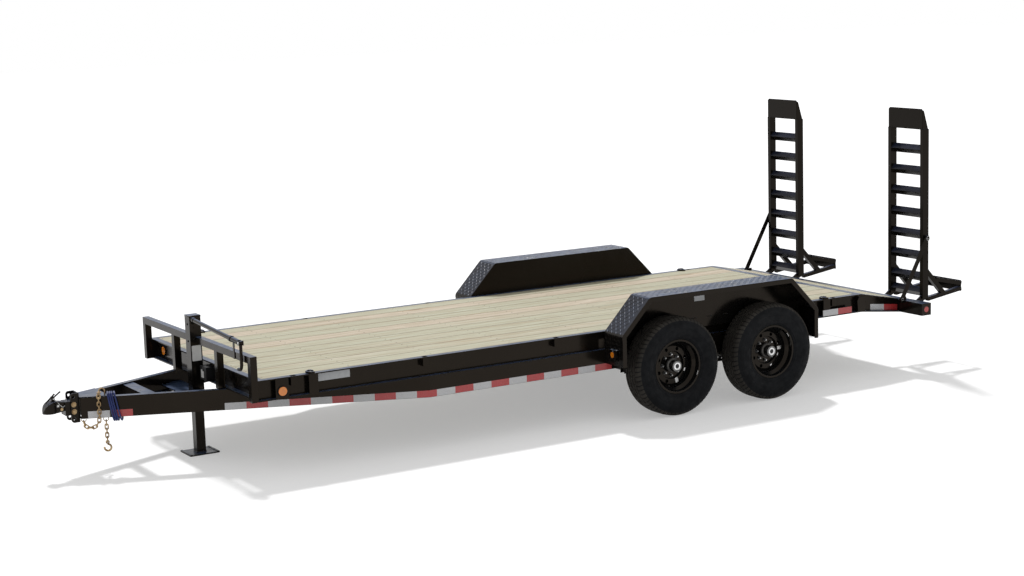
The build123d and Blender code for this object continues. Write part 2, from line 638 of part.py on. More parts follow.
def battery_box():
    """Small box with a lid, on the web of the front channel."""
    back = WEB - FLANGE
    lid = BOX_LOW + BOX_H - BOX_LID_H
    body = block(back, BOX_AHEAD - BOX_LID_LIP, BOX_Y0 + BOX_LID_LIP, BOX_Y1 - BOX_LID_LIP, BOX_LOW, lid)
    return body + block(back, BOX_AHEAD, BOX_Y0, BOX_Y1, lid, lid + BOX_LID_H)


# ---------------------------------------------------------------- coupler
def coupler_bracket():
    """Upright channel on the tongue's nose with rows of holes, open forwards."""
    half = CHANNEL_W / 2
    back = TONGUE_END
    web = block(back, back + PLATE_T, -half, half, CHANNEL_LOW, CHANNEL_HIGH)
    round_end = HOLE_IN
    ear = block(back, back + CHANNEL_L - round_end, half - PLATE_T, half, CHANNEL_LOW, CHANNEL_HIGH)
    low, high = CHANNEL_LOW + round_end, CHANNEL_HIGH - round_end
    ear += block(back, back + CHANNEL_L, half - PLATE_T, half, low, high)
    for z in (low, high):
        ear += rod_y(round_end, half - PLATE_T, half, BOLT_X, z)
    body = web + ear + mirror(ear, about=Plane.XZ)
    for z in bracket_holes():
        body -= rod_y(BOLT_R + BOLT_CLEAR, -half - 1, half + 1, BOLT_X, z)
    return body


def bracket_holes():
    """Heights of the four holes that set the coupler's height."""
    step = (CHANNEL_HIGH - CHANNEL_LOW - 2 * HOLE_EDGE) / (HOLE_N - 1)
    return [CHANNEL_LOW + HOLE_EDGE + k * step for k in range(HOLE_N)]


def coupler_bolts():
    """Two bolts through the bracket's cheeks and the coupler's shank."""
    half = CHANNEL_W / 2
    found = []
    for z in bracket_holes()[1:3]:
        bolt = rod_y(BOLT_R, -half - BOLT_HEAD_H - 4, half + BOLT_HEAD_H - 2, BOLT_X, z)
        for k in (-1, 1):
            bolt += rod_y(BOLT_HEAD_R, k * half, k * (half + BOLT_HEAD_H), BOLT_X, z)
        found.append(bolt)
    return found


def coupler():
    """Cast coupler: shank between the bracket's cheeks, humped body with a ball socket."""
    half = COUPLER_W / 2
    back = TONGUE_END + PLATE_T + 1.0
    low, top = COUPLER_BOTTOM, COUPLER_TOP
    holes = bracket_holes()
    shank = block(back, back + SHANK_L, -half, half, holes[1] - 24, holes[2] + 24)
    hump = [(back + SHANK_L - 10, low + 10), (back + SHANK_L - 10, top - 12), (BALL_X - 40, top),
            (BALL_X - 12, top), (BALL_X + 18, top - 14), (BALL_X + 38, top - 34), (NOSE_X, low + 16),
            (NOSE_X, low), (BALL_X - HEAD_R, low)]
    body = side_plate(hump, -HEAD_R, HEAD_R)
    plan = rod_z(HEAD_R, low - 1, top + 1, BALL_X, 0)
    plan += block(back + SHANK_L - 10, BALL_X, -NECK_HALF, NECK_HALF, low - 1, top + 1)
    body = shank + (body & plan)
    socket = BALL_R + SOCKET_CLEAR
    body -= Pos(BALL_X, 0, low + BALL_UP) * Sphere(socket)
    body -= rod_z(socket, low - 1, low + BALL_UP, BALL_X, 0)
    for z in holes[1:3]:
        body -= rod_y(BOLT_R + BOLT_CLEAR, -half - 1, half + 1, BOLT_X, z)
    return body


def coupler_latch():
    """Latch on the coupler's crown: two levers that lean back, side by side."""
    top = COUPLER_TOP
    base = block(BALL_X - 38, BALL_X - 14, -12, 12, top, top + 34)
    base += bar(BALL_X + 30, top - 8, BALL_X - 40, top + 54, LEVER_W, 4, 12)
    return base + bar(BALL_X - 14, top + 8, BALL_X - 88, top + 62, LEVER_W, -12, -4)


# ---------------------------------------------------------------- safety chains
def half_ring(radius, wire):
    """Half of a ring in the xy plane: its ends on the x axis, its bow towards +y."""
    section = Pos(radius, 0, 0) * Rot(90, 0, 0) * Circle(wire)
    return revolve(section, Axis.Z, revolution_arc=180)


def chain_link():
    """A link along x in the xy plane."""
    half = LINK_STRAIGHT / 2
    bow = half_ring(LINK_BEND, LINK_WIRE)
    body = Pos(half, 0, 0) * Rot(0, 0, -90) * bow
    body += Pos(-half, 0, 0) * Rot(0, 0, 90) * bow
    for y in (-LINK_BEND, LINK_BEND):
        body += rod_x(LINK_WIRE, -half, half, y, 0)
    return body


def keeper(half, leg, wire):
    """A loop in the xz plane: two legs up from z = 0 and a bow over them."""
    bow = Pos(0, 0, leg) * Rot(90, 0, 0) * half_ring(half, wire)
    return bow + rod_z(wire, 0, leg, -half, 0) + rod_z(wire, 0, leg, half, 0)


def beside_rail(x, out, z):
    """A point beside the left tongue rail: x picks a place on its outer face, then out of that face."""
    return Vector(x, tongue_outer_y(x), z) + OUTWARD * out


def link_reach():
    """From a link's middle to the middle of the wire at its end."""
    return LINK_STRAIGHT / 2 + LINK_BEND


def rail_way(way):
    """A direction given along the rail, outwards and up."""
    return (ALONG * way[0] + OUTWARD * way[1] + Vector(0, 0, way[2])).normalized()


def chain(held, wire, ways, normal):
    """Links that follow each other from a held wire, each a quarter turn from the last one.

    Returns the links and the middle of the last link's far wire.
    """
    link = chain_link()
    found = []
    far = held
    between = wire + LINK_WIRE + LINK_GAP
    last = None
    for way in ways:
        along = rail_way(way)
        back = along
        if last is not None:
            across = normal.cross(last)
            swing = last.cross(along)
            if swing.length > 1e-6:
                normal = normal.rotate(Axis((0, 0, 0), swing), degrees(atan2(swing.length, last.dot(along))))
            normal = normal.rotate(Axis((0, 0, 0), along), 90)
            back = normal.cross(along).cross(across).normalized()
            back = back if back.dot(last) > 0 else back * -1
        near = far - back * between
        middle = near + along * link_reach()
        found.append(Plane(origin=middle, x_dir=along, z_dir=normal).location * link)
        far = middle + along * link_reach()
        between = 2 * LINK_WIRE + LINK_GAP
        last = along
    return found, far


def chain_keepers():
    """Loops that hold the chains: one on the cover plate, two under the left rail."""
    top = keeper(KEEPER_HALF, KEEPER_RISE, KEEPER_WIRE)
    turn = Rot(0, 0, degrees(atan2(-TONGUE_SLOPE, 1)))
    top_at = beside_rail(KEEPER_X, -KEEPER_IN, RAIL_LOW + COVER_T) - ALONG * KEEPER_HALF
    found = [Pos(*top_at) * turn * top]
    for at, skew in ((slung_eye(), SLUNG_EYE_TURN), (hanging_eye(), 0)):
        low = Rot(180, 0, 0) * keeper(EYE_HALF, TONGUE_LOW - at.Z - EYE_HALF, EYE_WIRE)
        found.append(Pos(at.X, at.Y, TONGUE_LOW) * turn * Rot(0, 0, skew) * low)
    return found


def slung_chain():
    """Chain from the cover plate, over the left rail's face and forwards under the nose."""
    return chain(beside_rail(KEEPER_X, -KEEPER_IN, CHAIN_Z), KEEPER_WIRE, SLUNG, Vector(0, 0, 1))


def slung_eye():
    """Middle of the wire of the loop that the slung chain ends in."""
    return slung_chain()[1] - rail_way(SLUNG[-1]) * (EYE_WIRE + LINK_WIRE + EYE_GAP)


def hanging_eye():
    return beside_rail(HANG_X, -EYE_IN, TONGUE_LOW - EYE_LEG - EYE_HALF)


def hanging_chain():
    """Chain that hangs straight down under the left rail."""
    return chain(hanging_eye(), EYE_WIRE, [(0, 0, -1)] * HANG_N, ALONG)


def chain_hook():
    """Hook on the hanging chain: an eye over a bow that is open forwards."""
    far = hanging_chain()[1]
    eye_z = far.Z + 2 * LINK_WIRE + LINK_GAP - HOOK_EYE
    hook_z = eye_z - HOOK_EYE - HOOK_DROP - HOOK_R
    section = Pos(HOOK_R, 0, 0) * Rot(90, 0, 0) * Circle(HOOK_WIRE)
    bow = Rot(0, 0, HOOK_START) * revolve(section, Axis.Z, revolution_arc=HOOK_SWEEP)
    eye = Pos(0, eye_z - hook_z, 0) * Torus(HOOK_EYE, LINK_WIRE)
    return Plane(origin=(far.X, far.Y, hook_z), x_dir=ALONG, z_dir=OUTWARD * -1).location * (bow + eye)


# ---------------------------------------------------------------- trailer cable
def along_rail(s, out, z):
    """A point beside the left tongue rail, s ahead of the foremost turn."""
    return beside_rail(COIL_X, out, z) + ALONG * s


def coil_points():
    """Points of the turns round the left tongue rail, from the rear turn forwards."""
    mid_out = -FLANGE / 2
    mid_z = TONGUE_LOW + TONGUE_D / 2
    step = 360 / COIL_POINTS
    found = []
    for k in range(COIL_POINTS * len(COIL_PITCHES)):
        angle = radians(180 + (k + 0.5) * step)
        turn, part = divmod((k + 0.5) / COIL_POINTS, 1)
        done = sum(COIL_PITCHES[:int(turn)]) + part * COIL_PITCHES[int(turn)]
        wide = abs(cos(angle)) ** COIL_SQUARE * (1 if cos(angle) > 0 else -1)
        high = abs(sin(angle)) ** COIL_SQUARE * (1 if sin(angle) > 0 else -1)
        s = done - sum(COIL_PITCHES[:3]) + COIL_LEAN * high
        found.append(along_rail(s, mid_out + COIL_HALF_W * wide, mid_z + COIL_HALF_H * high))
    return found


def cable_points():
    """Whole route: out of the clamp on the rail's web, round the rail and into the plug."""
    first = [along_rail(CLIP_S + CLAMP_L / 2, -19, 475), along_rail(-136, -19, 475),
             along_rail(-113, -34, 476), along_rail(-94, -55, 473), along_rail(-76, -71, 462)]
    last = [along_rail(19, -78.5, 492), along_rail(24, -77, 462), along_rail(36, -69, 441),
            along_rail(56, -45, 429), along_rail(80, *plug_back()[1:]), along_rail(*plug_back())]
    return first + coil_points() + last


def plug_back():
    """Where the cable goes into the plug, as a place beside the rail."""
    return 104.0, -27.0, TONGUE_LOW + FLANGE_T + PLUG_R + SEAT_GAP


def corner_radii(points):
    """As large an arc at each corner as its two runs allow."""
    found = []
    for before, here, after in zip(points, points[1:], points[2:]):
        back, ahead = here - before, after - here
        half_turn = radians(back.get_angle(ahead)) / 2
        found.append(0.45 * min(back.length, ahead.length) / tan(half_turn))
    return found


def trailer_cable():
    points = cable_points()
    radii = corner_radii(points)
    path = FilletPolyline(*points, radius=radii)
    start = Plane(origin=points[0], z_dir=points[1] - points[0])
    tube = sweep(start * Circle(CABLE_D / 2), path=path)
    section = pi * (CABLE_D / 2) ** 2
    print("cable", round(path.length, 1), "volume", round(tube.volume), round(section * path.length))
    print("radii", sorted(round(r) for r in radii))
    return tube


def cable_clamp():
    """Block on the web of the left tongue rail that the cable comes out of."""
    s0, s1 = CLIP_S - CLAMP_L / 2, CLIP_S + CLAMP_L / 2
    middle = along_rail((s0 + s1) / 2, -WEB - CLAMP_OUT / 2, 475)
    frame = Plane(origin=middle, x_dir=ALONG, z_dir=(0, 0, 1))
    return frame.location * Box(CLAMP_L, CLAMP_OUT, CLAMP_H)


def trailer_plug():
    """Round seven-way plug at the end of the cable, lying in the left tongue rail."""
    back = along_rail(*plug_back())
    frame = Plane(origin=back, z_dir=ALONG)
    neck = extrude(frame * Circle(PLUG_NECK_R), amount=PLUG_NECK_L)
    body = extrude(frame.offset(PLUG_NECK_L) * Circle(PLUG_R), amount=PLUG_L)
    return neck + body


# ---------------------------------------------------------------- lights
def amber_lights():
    """Left amber lenses: front channel, rail's side and in front of the fender."""
    web = WEB - FLANGE
    front = rod_x(ROUND_R, web, web + LENS_T, FRONT_LIGHT_Y, FRONT_LIGHT_Z)
    side = rod_y(ROUND_R, RAIL_OUT, RAIL_OUT + LENS_T, SIDE_LIGHT_X, SIDE_LIGHT_Z)
    face = fender_front() + MARKER_AHEAD
    marker = rod_x(MARKER_R, face, face + LENS_T, MARKER_Y, MARKER_Z)
    return [front, side, marker]


def light_brackets():
    """Left: rubber ring of the front light, plate in the rail, bracket before the fender."""
    web = WEB - FLANGE
    ring = rod_x(ROUND_R + RUBBER, web, web + LENS_T - 2, FRONT_LIGHT_Y, FRONT_LIGHT_Z)
    ring -= rod_x(ROUND_R + LIGHT_CLEAR, web, web + LENS_T, FRONT_LIGHT_Y, FRONT_LIGHT_Z)
    half = SIDE_PLATE_L / 2
    plate = block(SIDE_LIGHT_X - half, SIDE_LIGHT_X + half, RAIL_OUT - RAIL_PLATE_T, RAIL_OUT,
                  RAIL_LOW + FLANGE_T, DECK_H - FLANGE_T)
    front = fender_front()
    face = front + MARKER_AHEAD
    y0, y1 = MARKER_Y - MARKER_PLATE_W / 2, MARKER_Y + MARKER_PLATE_W / 2
    shelf = block(front, face, y0, y1, MARKER_TOP - RAIL_PLATE_T, MARKER_TOP)
    shelf += block(face - RAIL_PLATE_T, face, y0, y1, MARKER_Z, MARKER_TOP)
    shelf += block(face - RAIL_PLATE_T, face, MARKER_Y - MARKER_PLATE_R, MARKER_Y + MARKER_PLATE_R,
                   MARKER_Z - MARKER_PLATE_R / 2, MARKER_Z)
    shelf += rod_x(MARKER_PLATE_R, face - RAIL_PLATE_T, face, MARKER_Y, MARKER_Z)
    return [ring, plate, shelf]


def oval_x(length, height, x0, x1, y, z):
    """An oval block along x, longer across y."""
    flat = (length - height) / 2
    body = block(x0, x1, y - flat, y + flat, z - height / 2, z + height / 2)
    return body + rod_x(height / 2, x0, x1, y - flat, z) + rod_x(height / 2, x0, x1, y + flat, z)


def bumper_light(clear, x0, x1):
    """Lenses in the bumper's rear face, or their holes when there is clearance."""
    middle = [rod_x(ID_LIGHT_R + clear, x0, x1, k * ID_LIGHT_PITCH, LIGHT_Z) for k in (-1, 0, 1)]
    tail = oval_x(TAIL_LIGHT_L + 2 * clear, TAIL_LIGHT_H + 2 * clear, x0, x1, TAIL_LIGHT_Y, LIGHT_Z)
    return middle + both(tail)


def bumper_end(clear, y0, y1):
    """Round lens in the bumper's left end, or its hole."""
    return rod_y(END_LIGHT_R + clear, y0, y1, BUMPER_X - BUMPER_S / 2, LIGHT_Z)


def red_lights():
    """Lenses let into the bumper's rear face and its ends."""
    ends = both(bumper_end(0, BUMPER_HALF - LIGHT_DEPTH, BUMPER_HALF))
    return bumper_light(0, BUMPER_BACK, BUMPER_BACK + LIGHT_DEPTH) + ends


# ---------------------------------------------------------------- rear end
def ramp_hinge_y(side_of_ramp):
    """Middle of the lug on a ramp's inner (-1) or outer (+1) side rail."""
    return RAMP_MID + side_of_ramp * (RAMP_W / 2 - RAMP_RAIL_W / 2)


def rear_bumper():
    """Box across the tail, with hinge ears and pins for the ramps and brace ears."""
    low = BUMPER_TOP - BUMPER_S
    body = block(BUMPER_BACK, BUMPER_X, -BUMPER_HALF, BUMPER_HALF, low, BUMPER_TOP)
    body -= block(BUMPER_BACK + BUMPER_WALL, BUMPER_X - BUMPER_WALL,
                  -BUMPER_HALF + BUMPER_WALL, BUMPER_HALF - BUMPER_WALL,
                  low + BUMPER_WALL, BUMPER_TOP - BUMPER_WALL)
    for hole in bumper_light(LIGHT_CLEAR, BUMPER_BACK - 1, BUMPER_BACK + BUMPER_WALL + 1):
        body -= hole
    for hole in both(bumper_end(LIGHT_CLEAR, BUMPER_HALF - BUMPER_WALL - 1, BUMPER_HALF + 1)):
        body -= hole
    for end in (-1, 1):
        mid = ramp_hinge_y(end)
        for k in (-1, 1):
            y0 = mid + k * (LUG_T / 2 + EAR_GAP)
            y1 = y0 + k * EAR_T
            ear = block(HINGE_X, BUMPER_BACK, y0, y1, HINGE_Z - LUG_R, HINGE_Z + LUG_R)
            ear += rod_y(LUG_R, y0, y1, HINGE_X, HINGE_Z)
            body += ear
            body += mirror(ear, about=Plane.XZ)
        reach = LUG_T / 2 + EAR_GAP + EAR_T
        pin = rod_y(PIN_R, mid - reach, mid + reach, HINGE_X, HINGE_Z)
        body += pin
        body += mirror(pin, about=Plane.XZ)
    ear = brace_ear()
    body += ear
    body += mirror(ear, about=Plane.XZ)
    return body


def brace_y():
    """Inner face of the brace, outboard of the ramp."""
    return RAMP_MID + RAMP_W / 2 + BRACE_GAP


def brace_foot():
    return BUMPER_X + BRACE_FOOT_AHEAD, BUMPER_TOP + BRACE_FOOT_UP


def brace_ear():
    x, z = brace_foot()
    y1 = brace_y() - 2.0
    y0 = y1 - EAR_T
    ear = rod_y(BRACE_EAR_R, y0, y1, x, z)
    ear += block(BUMPER_X - 30, x, y0, y1, BUMPER_TOP - 20, z + BRACE_EAR_R)
    ear += rod_y(BRACE_PIN_R, y0, brace_y() + BRACE_T + 4, x, z)
    return ear


def brace():
    """Left brace: a flat bar from the bumper's ear to a pin beside the ramp."""
    x0, z0 = brace_foot()
    x1, z1 = RAMP_FACE - RAMP_DEPTH / 2, BRACE_TOP_Z
    y0 = brace_y()
    y1 = y0 + BRACE_T
    body = bar(x0, z0, x1, z1, BRACE_W, y0, y1)
    body += rod_y(BRACE_W / 2, y0, y1, x0, z0) + rod_y(BRACE_W / 2, y0, y1, x1, z1)
    body -= rod_y(BRACE_PIN_R + PIN_FIT, y0 - 1, y1 + 1, x0, z0)
    body += rod_y(BRACE_PIN_R, RAMP_MID + RAMP_W / 2 + 1.0, y1 + BRACE_PIN_OUT, x1, z1)
    return body


def ramp_frame():
    """Left ramp's side rails with hinge lugs, tip plate and support leg."""
    back = RAMP_FACE - RAMP_DEPTH
    low = HINGE_Z + LUG_R + 6
    tip_low = RAMP_TOP - TIP_H
    body = None
    for end in (-1, 1):
        edge = RAMP_MID + end * RAMP_W / 2
        outline = [(back, low), (RAMP_FACE, low), (RAMP_FACE, tip_low), (back, tip_low)]
        rail = side_plate(outline, edge, edge - end * RAMP_RAIL_W)
        cheek = [(back, tip_low - 1), (RAMP_FACE, tip_low - 1), (RAMP_FACE, RAMP_TOP - TIP_CUT),
                 (RAMP_FACE - TIP_DEEP, RAMP_TOP - TIP_CUT)]
        outer = edge - end * TIP_IN
        rail += side_plate(cheek, outer, outer - end * TIP_CHEEK_T)
        mid = ramp_hinge_y(end)
        y0, y1 = mid - LUG_T / 2, mid + LUG_T / 2
        lug = rod_y(LUG_R, y0, y1, HINGE_X, HINGE_Z)
        lug += side_plate([(HINGE_X, HINGE_Z - LUG_R), (HINGE_X, HINGE_Z + LUG_R),
                           (RAMP_FACE, low + 30), (back, low + 30), (back, low)], y0, y1)
        lug -= rod_y(PIN_R + PIN_FIT, y0 - 1, y1 + 1, HINGE_X, HINGE_Z)
        rail += lug
        body = rail if body is None else body + rail
    reach = RAMP_W / 2 - TIP_IN
    plate = block(RAMP_FACE - STEP_T, RAMP_FACE, -reach, reach, tip_low - 1, RAMP_TOP)
    corners = [edge for edge in plate.edges().filter_by(Axis.X) if edge.center().Z > RAMP_TOP - 1]
    return body + Pos(0, RAMP_MID, 0) * chamfer(corners, TIP_CUT)


def ramp_knee():
    """Left ramp's support leg, behind the ramp while it stands up."""
    back = RAMP_FACE - RAMP_DEPTH + KNEE_WELD
    tip = HINGE_X - KNEE_END
    ahead, high, low = KNEE_TIP
    body = None
    for end in (-1, 1):
        mid = ramp_hinge_y(end)
        y0, y1 = mid - KNEE_HALF, mid + KNEE_HALF
        end_x = tip + ahead
        low_x, low_z = back - KNEE_LOWER[0], HINGE_Z + KNEE_LOWER[1]
        leg = bar(back - KNEE_UPPER[0], HINGE_Z + KNEE_UPPER[1], end_x, HINGE_Z + high, KNEE_BAR, y0, y1)
        leg += bar(low_x, low_z, end_x, HINGE_Z + low, KNEE_BAR, y0, y1)
        rise = (HINGE_Z + low - low_z) / (low_x - end_x)
        feet = [(back - foot, low_z + rise * foot) for foot in KNEE_STRUT_FOOT]
        strut = [(back, HINGE_Z + KNEE_STRUT[1]), (back, HINGE_Z + KNEE_STRUT[0])]
        leg += side_plate(strut + feet, y0, y1)
        body = leg if body is None else body + leg
    thick, z0, z1 = KNEE_FOOT
    reach = RAMP_W / 2 - KNEE_FOOT_IN
    return body + block(tip, tip + thick, RAMP_MID - reach, RAMP_MID + reach, HINGE_Z + z0, HINGE_Z + z1)


def ramp_steps():
    """Angle cleats between the side rails of the left ramp, their corners towards the tread face."""
    y0 = RAMP_MID - RAMP_W / 2 + RAMP_RAIL_W
    y1 = RAMP_MID + RAMP_W / 2 - RAMP_RAIL_W
    reach, thick = STEP_LEG / sqrt(2), STEP_T / sqrt(2)
    corners = [RAMP_TOP - TIP_H - STEP_TOP - k * STEP_PITCH for k in range(STEP_N)]

    def cleat(z):
        back = RAMP_FACE - reach
        outside = [(back, z + reach), (RAMP_FACE, z), (back, z - reach)]
        inside = [(back - thick, z - reach + thick), (RAMP_FACE - 2 * thick, z),
                  (back - thick, z + reach - thick)]
        return side_plate(outside + inside, y0, y1)

    return [cleat(z) for z in corners + [LOW_STEP_Z]]


# ---------------------------------------------------------------- fenders
def fender_front():
    return -FENDER_MID_X + FENDER_L / 2


def fender():
    """Left fender: folded plate over both wheels, outer lip and inner wall."""
    front = fender_front()
    rear = front - FENDER_L
    knee = DECK_H - KNEE_DROP
    line = [(front, FENDER_LOW), (front, knee), (front - FENDER_SLOPE_X, FENDER_TOP),
            (rear + FENDER_SLOPE_X, FENDER_TOP), (rear, knee), (rear, FENDER_LOW)]
    t = FENDER_T
    slope = atan2(FENDER_TOP - knee, FENDER_SLOPE_X)
    side_in = t * tan((pi / 2 - slope) / 2)
    top_in = t * tan(slope / 2)

    def inner(depth):
        s = depth / t
        return [(front - depth, FENDER_LOW), (front - depth, knee - side_in * s),
                (front - FENDER_SLOPE_X - top_in * s, FENDER_TOP - depth),
                (rear + FENDER_SLOPE_X + top_in * s, FENDER_TOP - depth),
                (rear + depth, knee - side_in * s), (rear + depth, FENDER_LOW)]

    def folded(depth, y0, y1):
        """The fender's outline as a band of the given depth, its folds about the same centres."""
        inside = bent_plate(inner(depth), max(FENDER_BEND - depth, 1.0), y0, y1)
        return bent_plate(line, FENDER_BEND, y0, y1) - inside

    wall_low = DECK_H - RAIL_D / 2
    wall = [(front, wall_low)] + line[1:5] + [(rear, wall_low)]
    skin = folded(t, FENDER_IN, FENDER_OUT) + folded(FENDER_LIP, FENDER_OUT - t, FENDER_OUT)
    return skin + bent_plate(wall, FENDER_BEND, FENDER_IN, FENDER_IN + t)


# ---------------------------------------------------------------- running gear
def ring_about_y(outline, x):
    """Turn an (r, y) outline about a wheel's axis."""
    face = make_face(Polyline(*[(r, y, 0) for r, y in outline], close=True))
    turned = revolve(face, Axis.Y)
    return Pos(x, 0, TYRE_R) * turned


def tyre(x):
    half = TYRE_W / 2
    m = TYRE_MID
    outer = [(RIM_R + 0.3, m - 75), (RIM_R + 12, m - 77), (RIM_R + 12, m - 86), (RIM_R + 70, m - half),
             (RIM_R + 110, m - half), (TYRE_R - 22, m - 100), (TYRE_R - 4, m - 84),
             (TYRE_R, m - 60), (TYRE_R, m + 60), (TYRE_R - 4, m + 84), (TYRE_R - 22, m + 100),
             (RIM_R + 110, m + half), (RIM_R + 70, m + half), (RIM_R + 12, m + 86),
             (RIM_R + 12, m + 77), (RIM_R + 0.3, m + 75)]
    inner = [(RIM_R + 0.3, m + 56), (RIM_R + 30, m + 78), (RIM_R + 90, m + 98), (TYRE_R - 22, m + 80),
             (TYRE_R - 22, m - 80), (RIM_R + 90, m - 98), (RIM_R + 30, m - 78), (RIM_R + 0.3, m - 56)]
    return ring_about_y(outer + inner, x)


def wheel(x):
    """Steel rim and disc; the disc's middle bolts on the hub's flange."""
    m = TYRE_MID
    face = m - DISC_IN
    lip = RIM_R + 11
    rim = [(lip, m - RIM_HALF), (lip, m - RIM_HALF + 5), (RIM_R, m - RIM_HALF + 7),
           (RIM_R, m - 45), (WELL_R, m - 30), (WELL_R, m + 15), (RIM_R, m + 40),
           (RIM_R, m + RIM_HALF - 7), (lip, m + RIM_HALF - 5), (lip, m + RIM_HALF),
           (RIM_R - 5, m + RIM_HALF), (RIM_R - RIM_T, m + 42), (WELL_R - RIM_T, m + 18),
           (WELL_R - RIM_T, m - 32), (RIM_R - RIM_T, m - 47), (RIM_R - 5, m - RIM_HALF)]
    weld = WELL_R - RIM_T + 1
    disc = [(weld, face + 16), (150, face + 28), (112, face + 30), (105, face + DISC_T),
            (PILOT_R + SEAT_GAP, face + DISC_T), (PILOT_R + SEAT_GAP, face), (108, face),
            (118, face + 20), (146, face + 18), (weld, face + 6)]
    body = ring_about_y(rim, x) + ring_about_y(disc, x)
    for k in range(8):
        a = radians(22.5 + 45 * k)
        body -= rod_y(VENT_R, face - 20, face + 60, x + VENT_CIRCLE * cos(a), TYRE_R + VENT_CIRCLE * sin(a))
        b = radians(45 * k)
        body -= rod_y(STUD_HOLE_R, face - 20, face + 60,
                      x + STUD_CIRCLE * cos(b), TYRE_R + STUD_CIRCLE * sin(b))
    return body


def hub(x):
    """Hub with brake drum, turning on the spindle."""
    face = TYRE_MID - DISC_IN
    back = face - SEAT_GAP
    drum_in = TYRE_MID - DRUM_IN
    end = TYRE_MID + HUB_END
    bore = SPINDLE_R + PIN_FIT
    drum = DRUM_R - DRUM_WALL
    outline = [(bore, drum_in + 22), (HUB_R, drum_in + 22), (HUB_R, back - 14), (drum, back - 14),
               (drum, drum_in), (DRUM_R, drum_in), (DRUM_R, back - 8), (FLANGE_R, back),
               (PILOT_R, back), (PILOT_R, face + 44), (HUB_R, face + 50), (HUB_R, end), (0, end),
               (0, end - 18), (bore, end - 18)]
    return ring_about_y(outline, x)


def axle(x):
    """Dropped axle tube with a spindle and a brake backing plate at each end."""
    tube_z = TYRE_R - AXLE_DROP
    arm_in, arm_out = RAIL_OUT + ARM_GAP, TYRE_MID - ARM_BEHIND
    body = rod_y(AXLE_R, -arm_in - 5, arm_in + 5, x, tube_z)
    end = block(x - 32, x + 32, arm_in, arm_out, tube_z - AXLE_R, TYRE_R + 34)
    end += rod_y(SPINDLE_R + 10, arm_out - 5, arm_out + 14, x, TYRE_R)
    end += rod_y(DRUM_R + 4, arm_out, arm_out + 4, x, TYRE_R)
    end += rod_y(SPINDLE_R, arm_out, TYRE_MID + HUB_END - 20, x, TYRE_R)
    return body + end + mirror(end, about=Plane.XZ)


def spring_mid_y():
    return (RAIL_IN + RAIL_OUT) / 2


def leaf_spring(x):
    """Left leaf spring on the axle: a stepped pack of leaves on one curve, with two eyes."""
    y0, y1 = spring_mid_y() - SPRING_W / 2, spring_mid_y() + SPRING_W / 2
    seat = TYRE_R - AXLE_DROP + AXLE_R
    half = SPRING_L / 2
    crown = seat + LEAF_N * LEAF_T
    rise = eye_height() - EYE_R - crown
    radius = (half * half + rise * rise) / (2 * rise)
    cells = LEAF_STEP * (LEAF_N + 1)

    def at(cell, depth):
        """A point on the pack's curve, some leaves down."""
        along = half * cell / cells
        return x + along, crown + radius - (radius ** 2 - along ** 2) ** 0.5 - depth * LEAF_T

    under = []
    for k in range(LEAF_N - 1):
        start = cells - LEAF_STEP * k
        under += [(cell, k + 1) for cell in range(start, start - LEAF_STEP - 1, -1)]
    last = cells - LEAF_STEP * (LEAF_N - 1)
    shortest = [(cell, LEAF_N) for cell in range(last, -last - 1, -1)]
    mirrored = [(-cell, depth) for cell, depth in reversed(under)]
    top = [(cell, 0) for cell in range(-cells, cells + 1)]
    body = side_plate([at(*place) for place in top + under + shortest + mirrored], y0, y1)
    for end in (-1, 1):
        body += rod_y(EYE_R, y0, y1, x + end * half, eye_height())
    for end in (-1, 1):
        body -= rod_y(SPRING_BOLT_R + 0.1, y0 - 1, y1 + 1, x + end * half, eye_height())
    clamp = block(x - 45, x + 45, y0 - 3, y1 + 3, crown + CLAMP_GAP, crown + CLAMP_GAP + 10)
    return body + clamp


def eye_height():
    """Height of the spring eyes above the ground."""
    return TYRE_R - AXLE_DROP + AXLE_R + EYE_RISE


def cheek_pair(x, wide, low, high, bolt_z):
    """Two cheeks each side of a spring eye, with the bolt that goes through it."""
    y0 = spring_mid_y() - SPRING_W / 2 - CHEEK_GAP
    y1 = spring_mid_y() + SPRING_W / 2 + CHEEK_GAP
    body = block(x - wide, x + wide, y0 - CHEEK_T, y0, low, high)
    body += block(x - wide, x + wide, y1, y1 + CHEEK_T, low, high)
    return body + rod_y(SPRING_BOLT_R, y0 - CHEEK_T - 6, y1 + CHEEK_T + 6, x, bolt_z)


def hangers():
    """Left hangers: one at each end of the springs and one for the equalizer."""
    z = eye_height()
    reach = AXLE_PITCH / 2 + SPRING_L / 2
    ends = [cheek_pair(-TANDEM_X + k * reach, 32, z - 24, TONGUE_LOW, z) for k in (-1, 1)]
    return ends + [cheek_pair(-TANDEM_X, 42, z - 50, TONGUE_LOW, z - 24)]


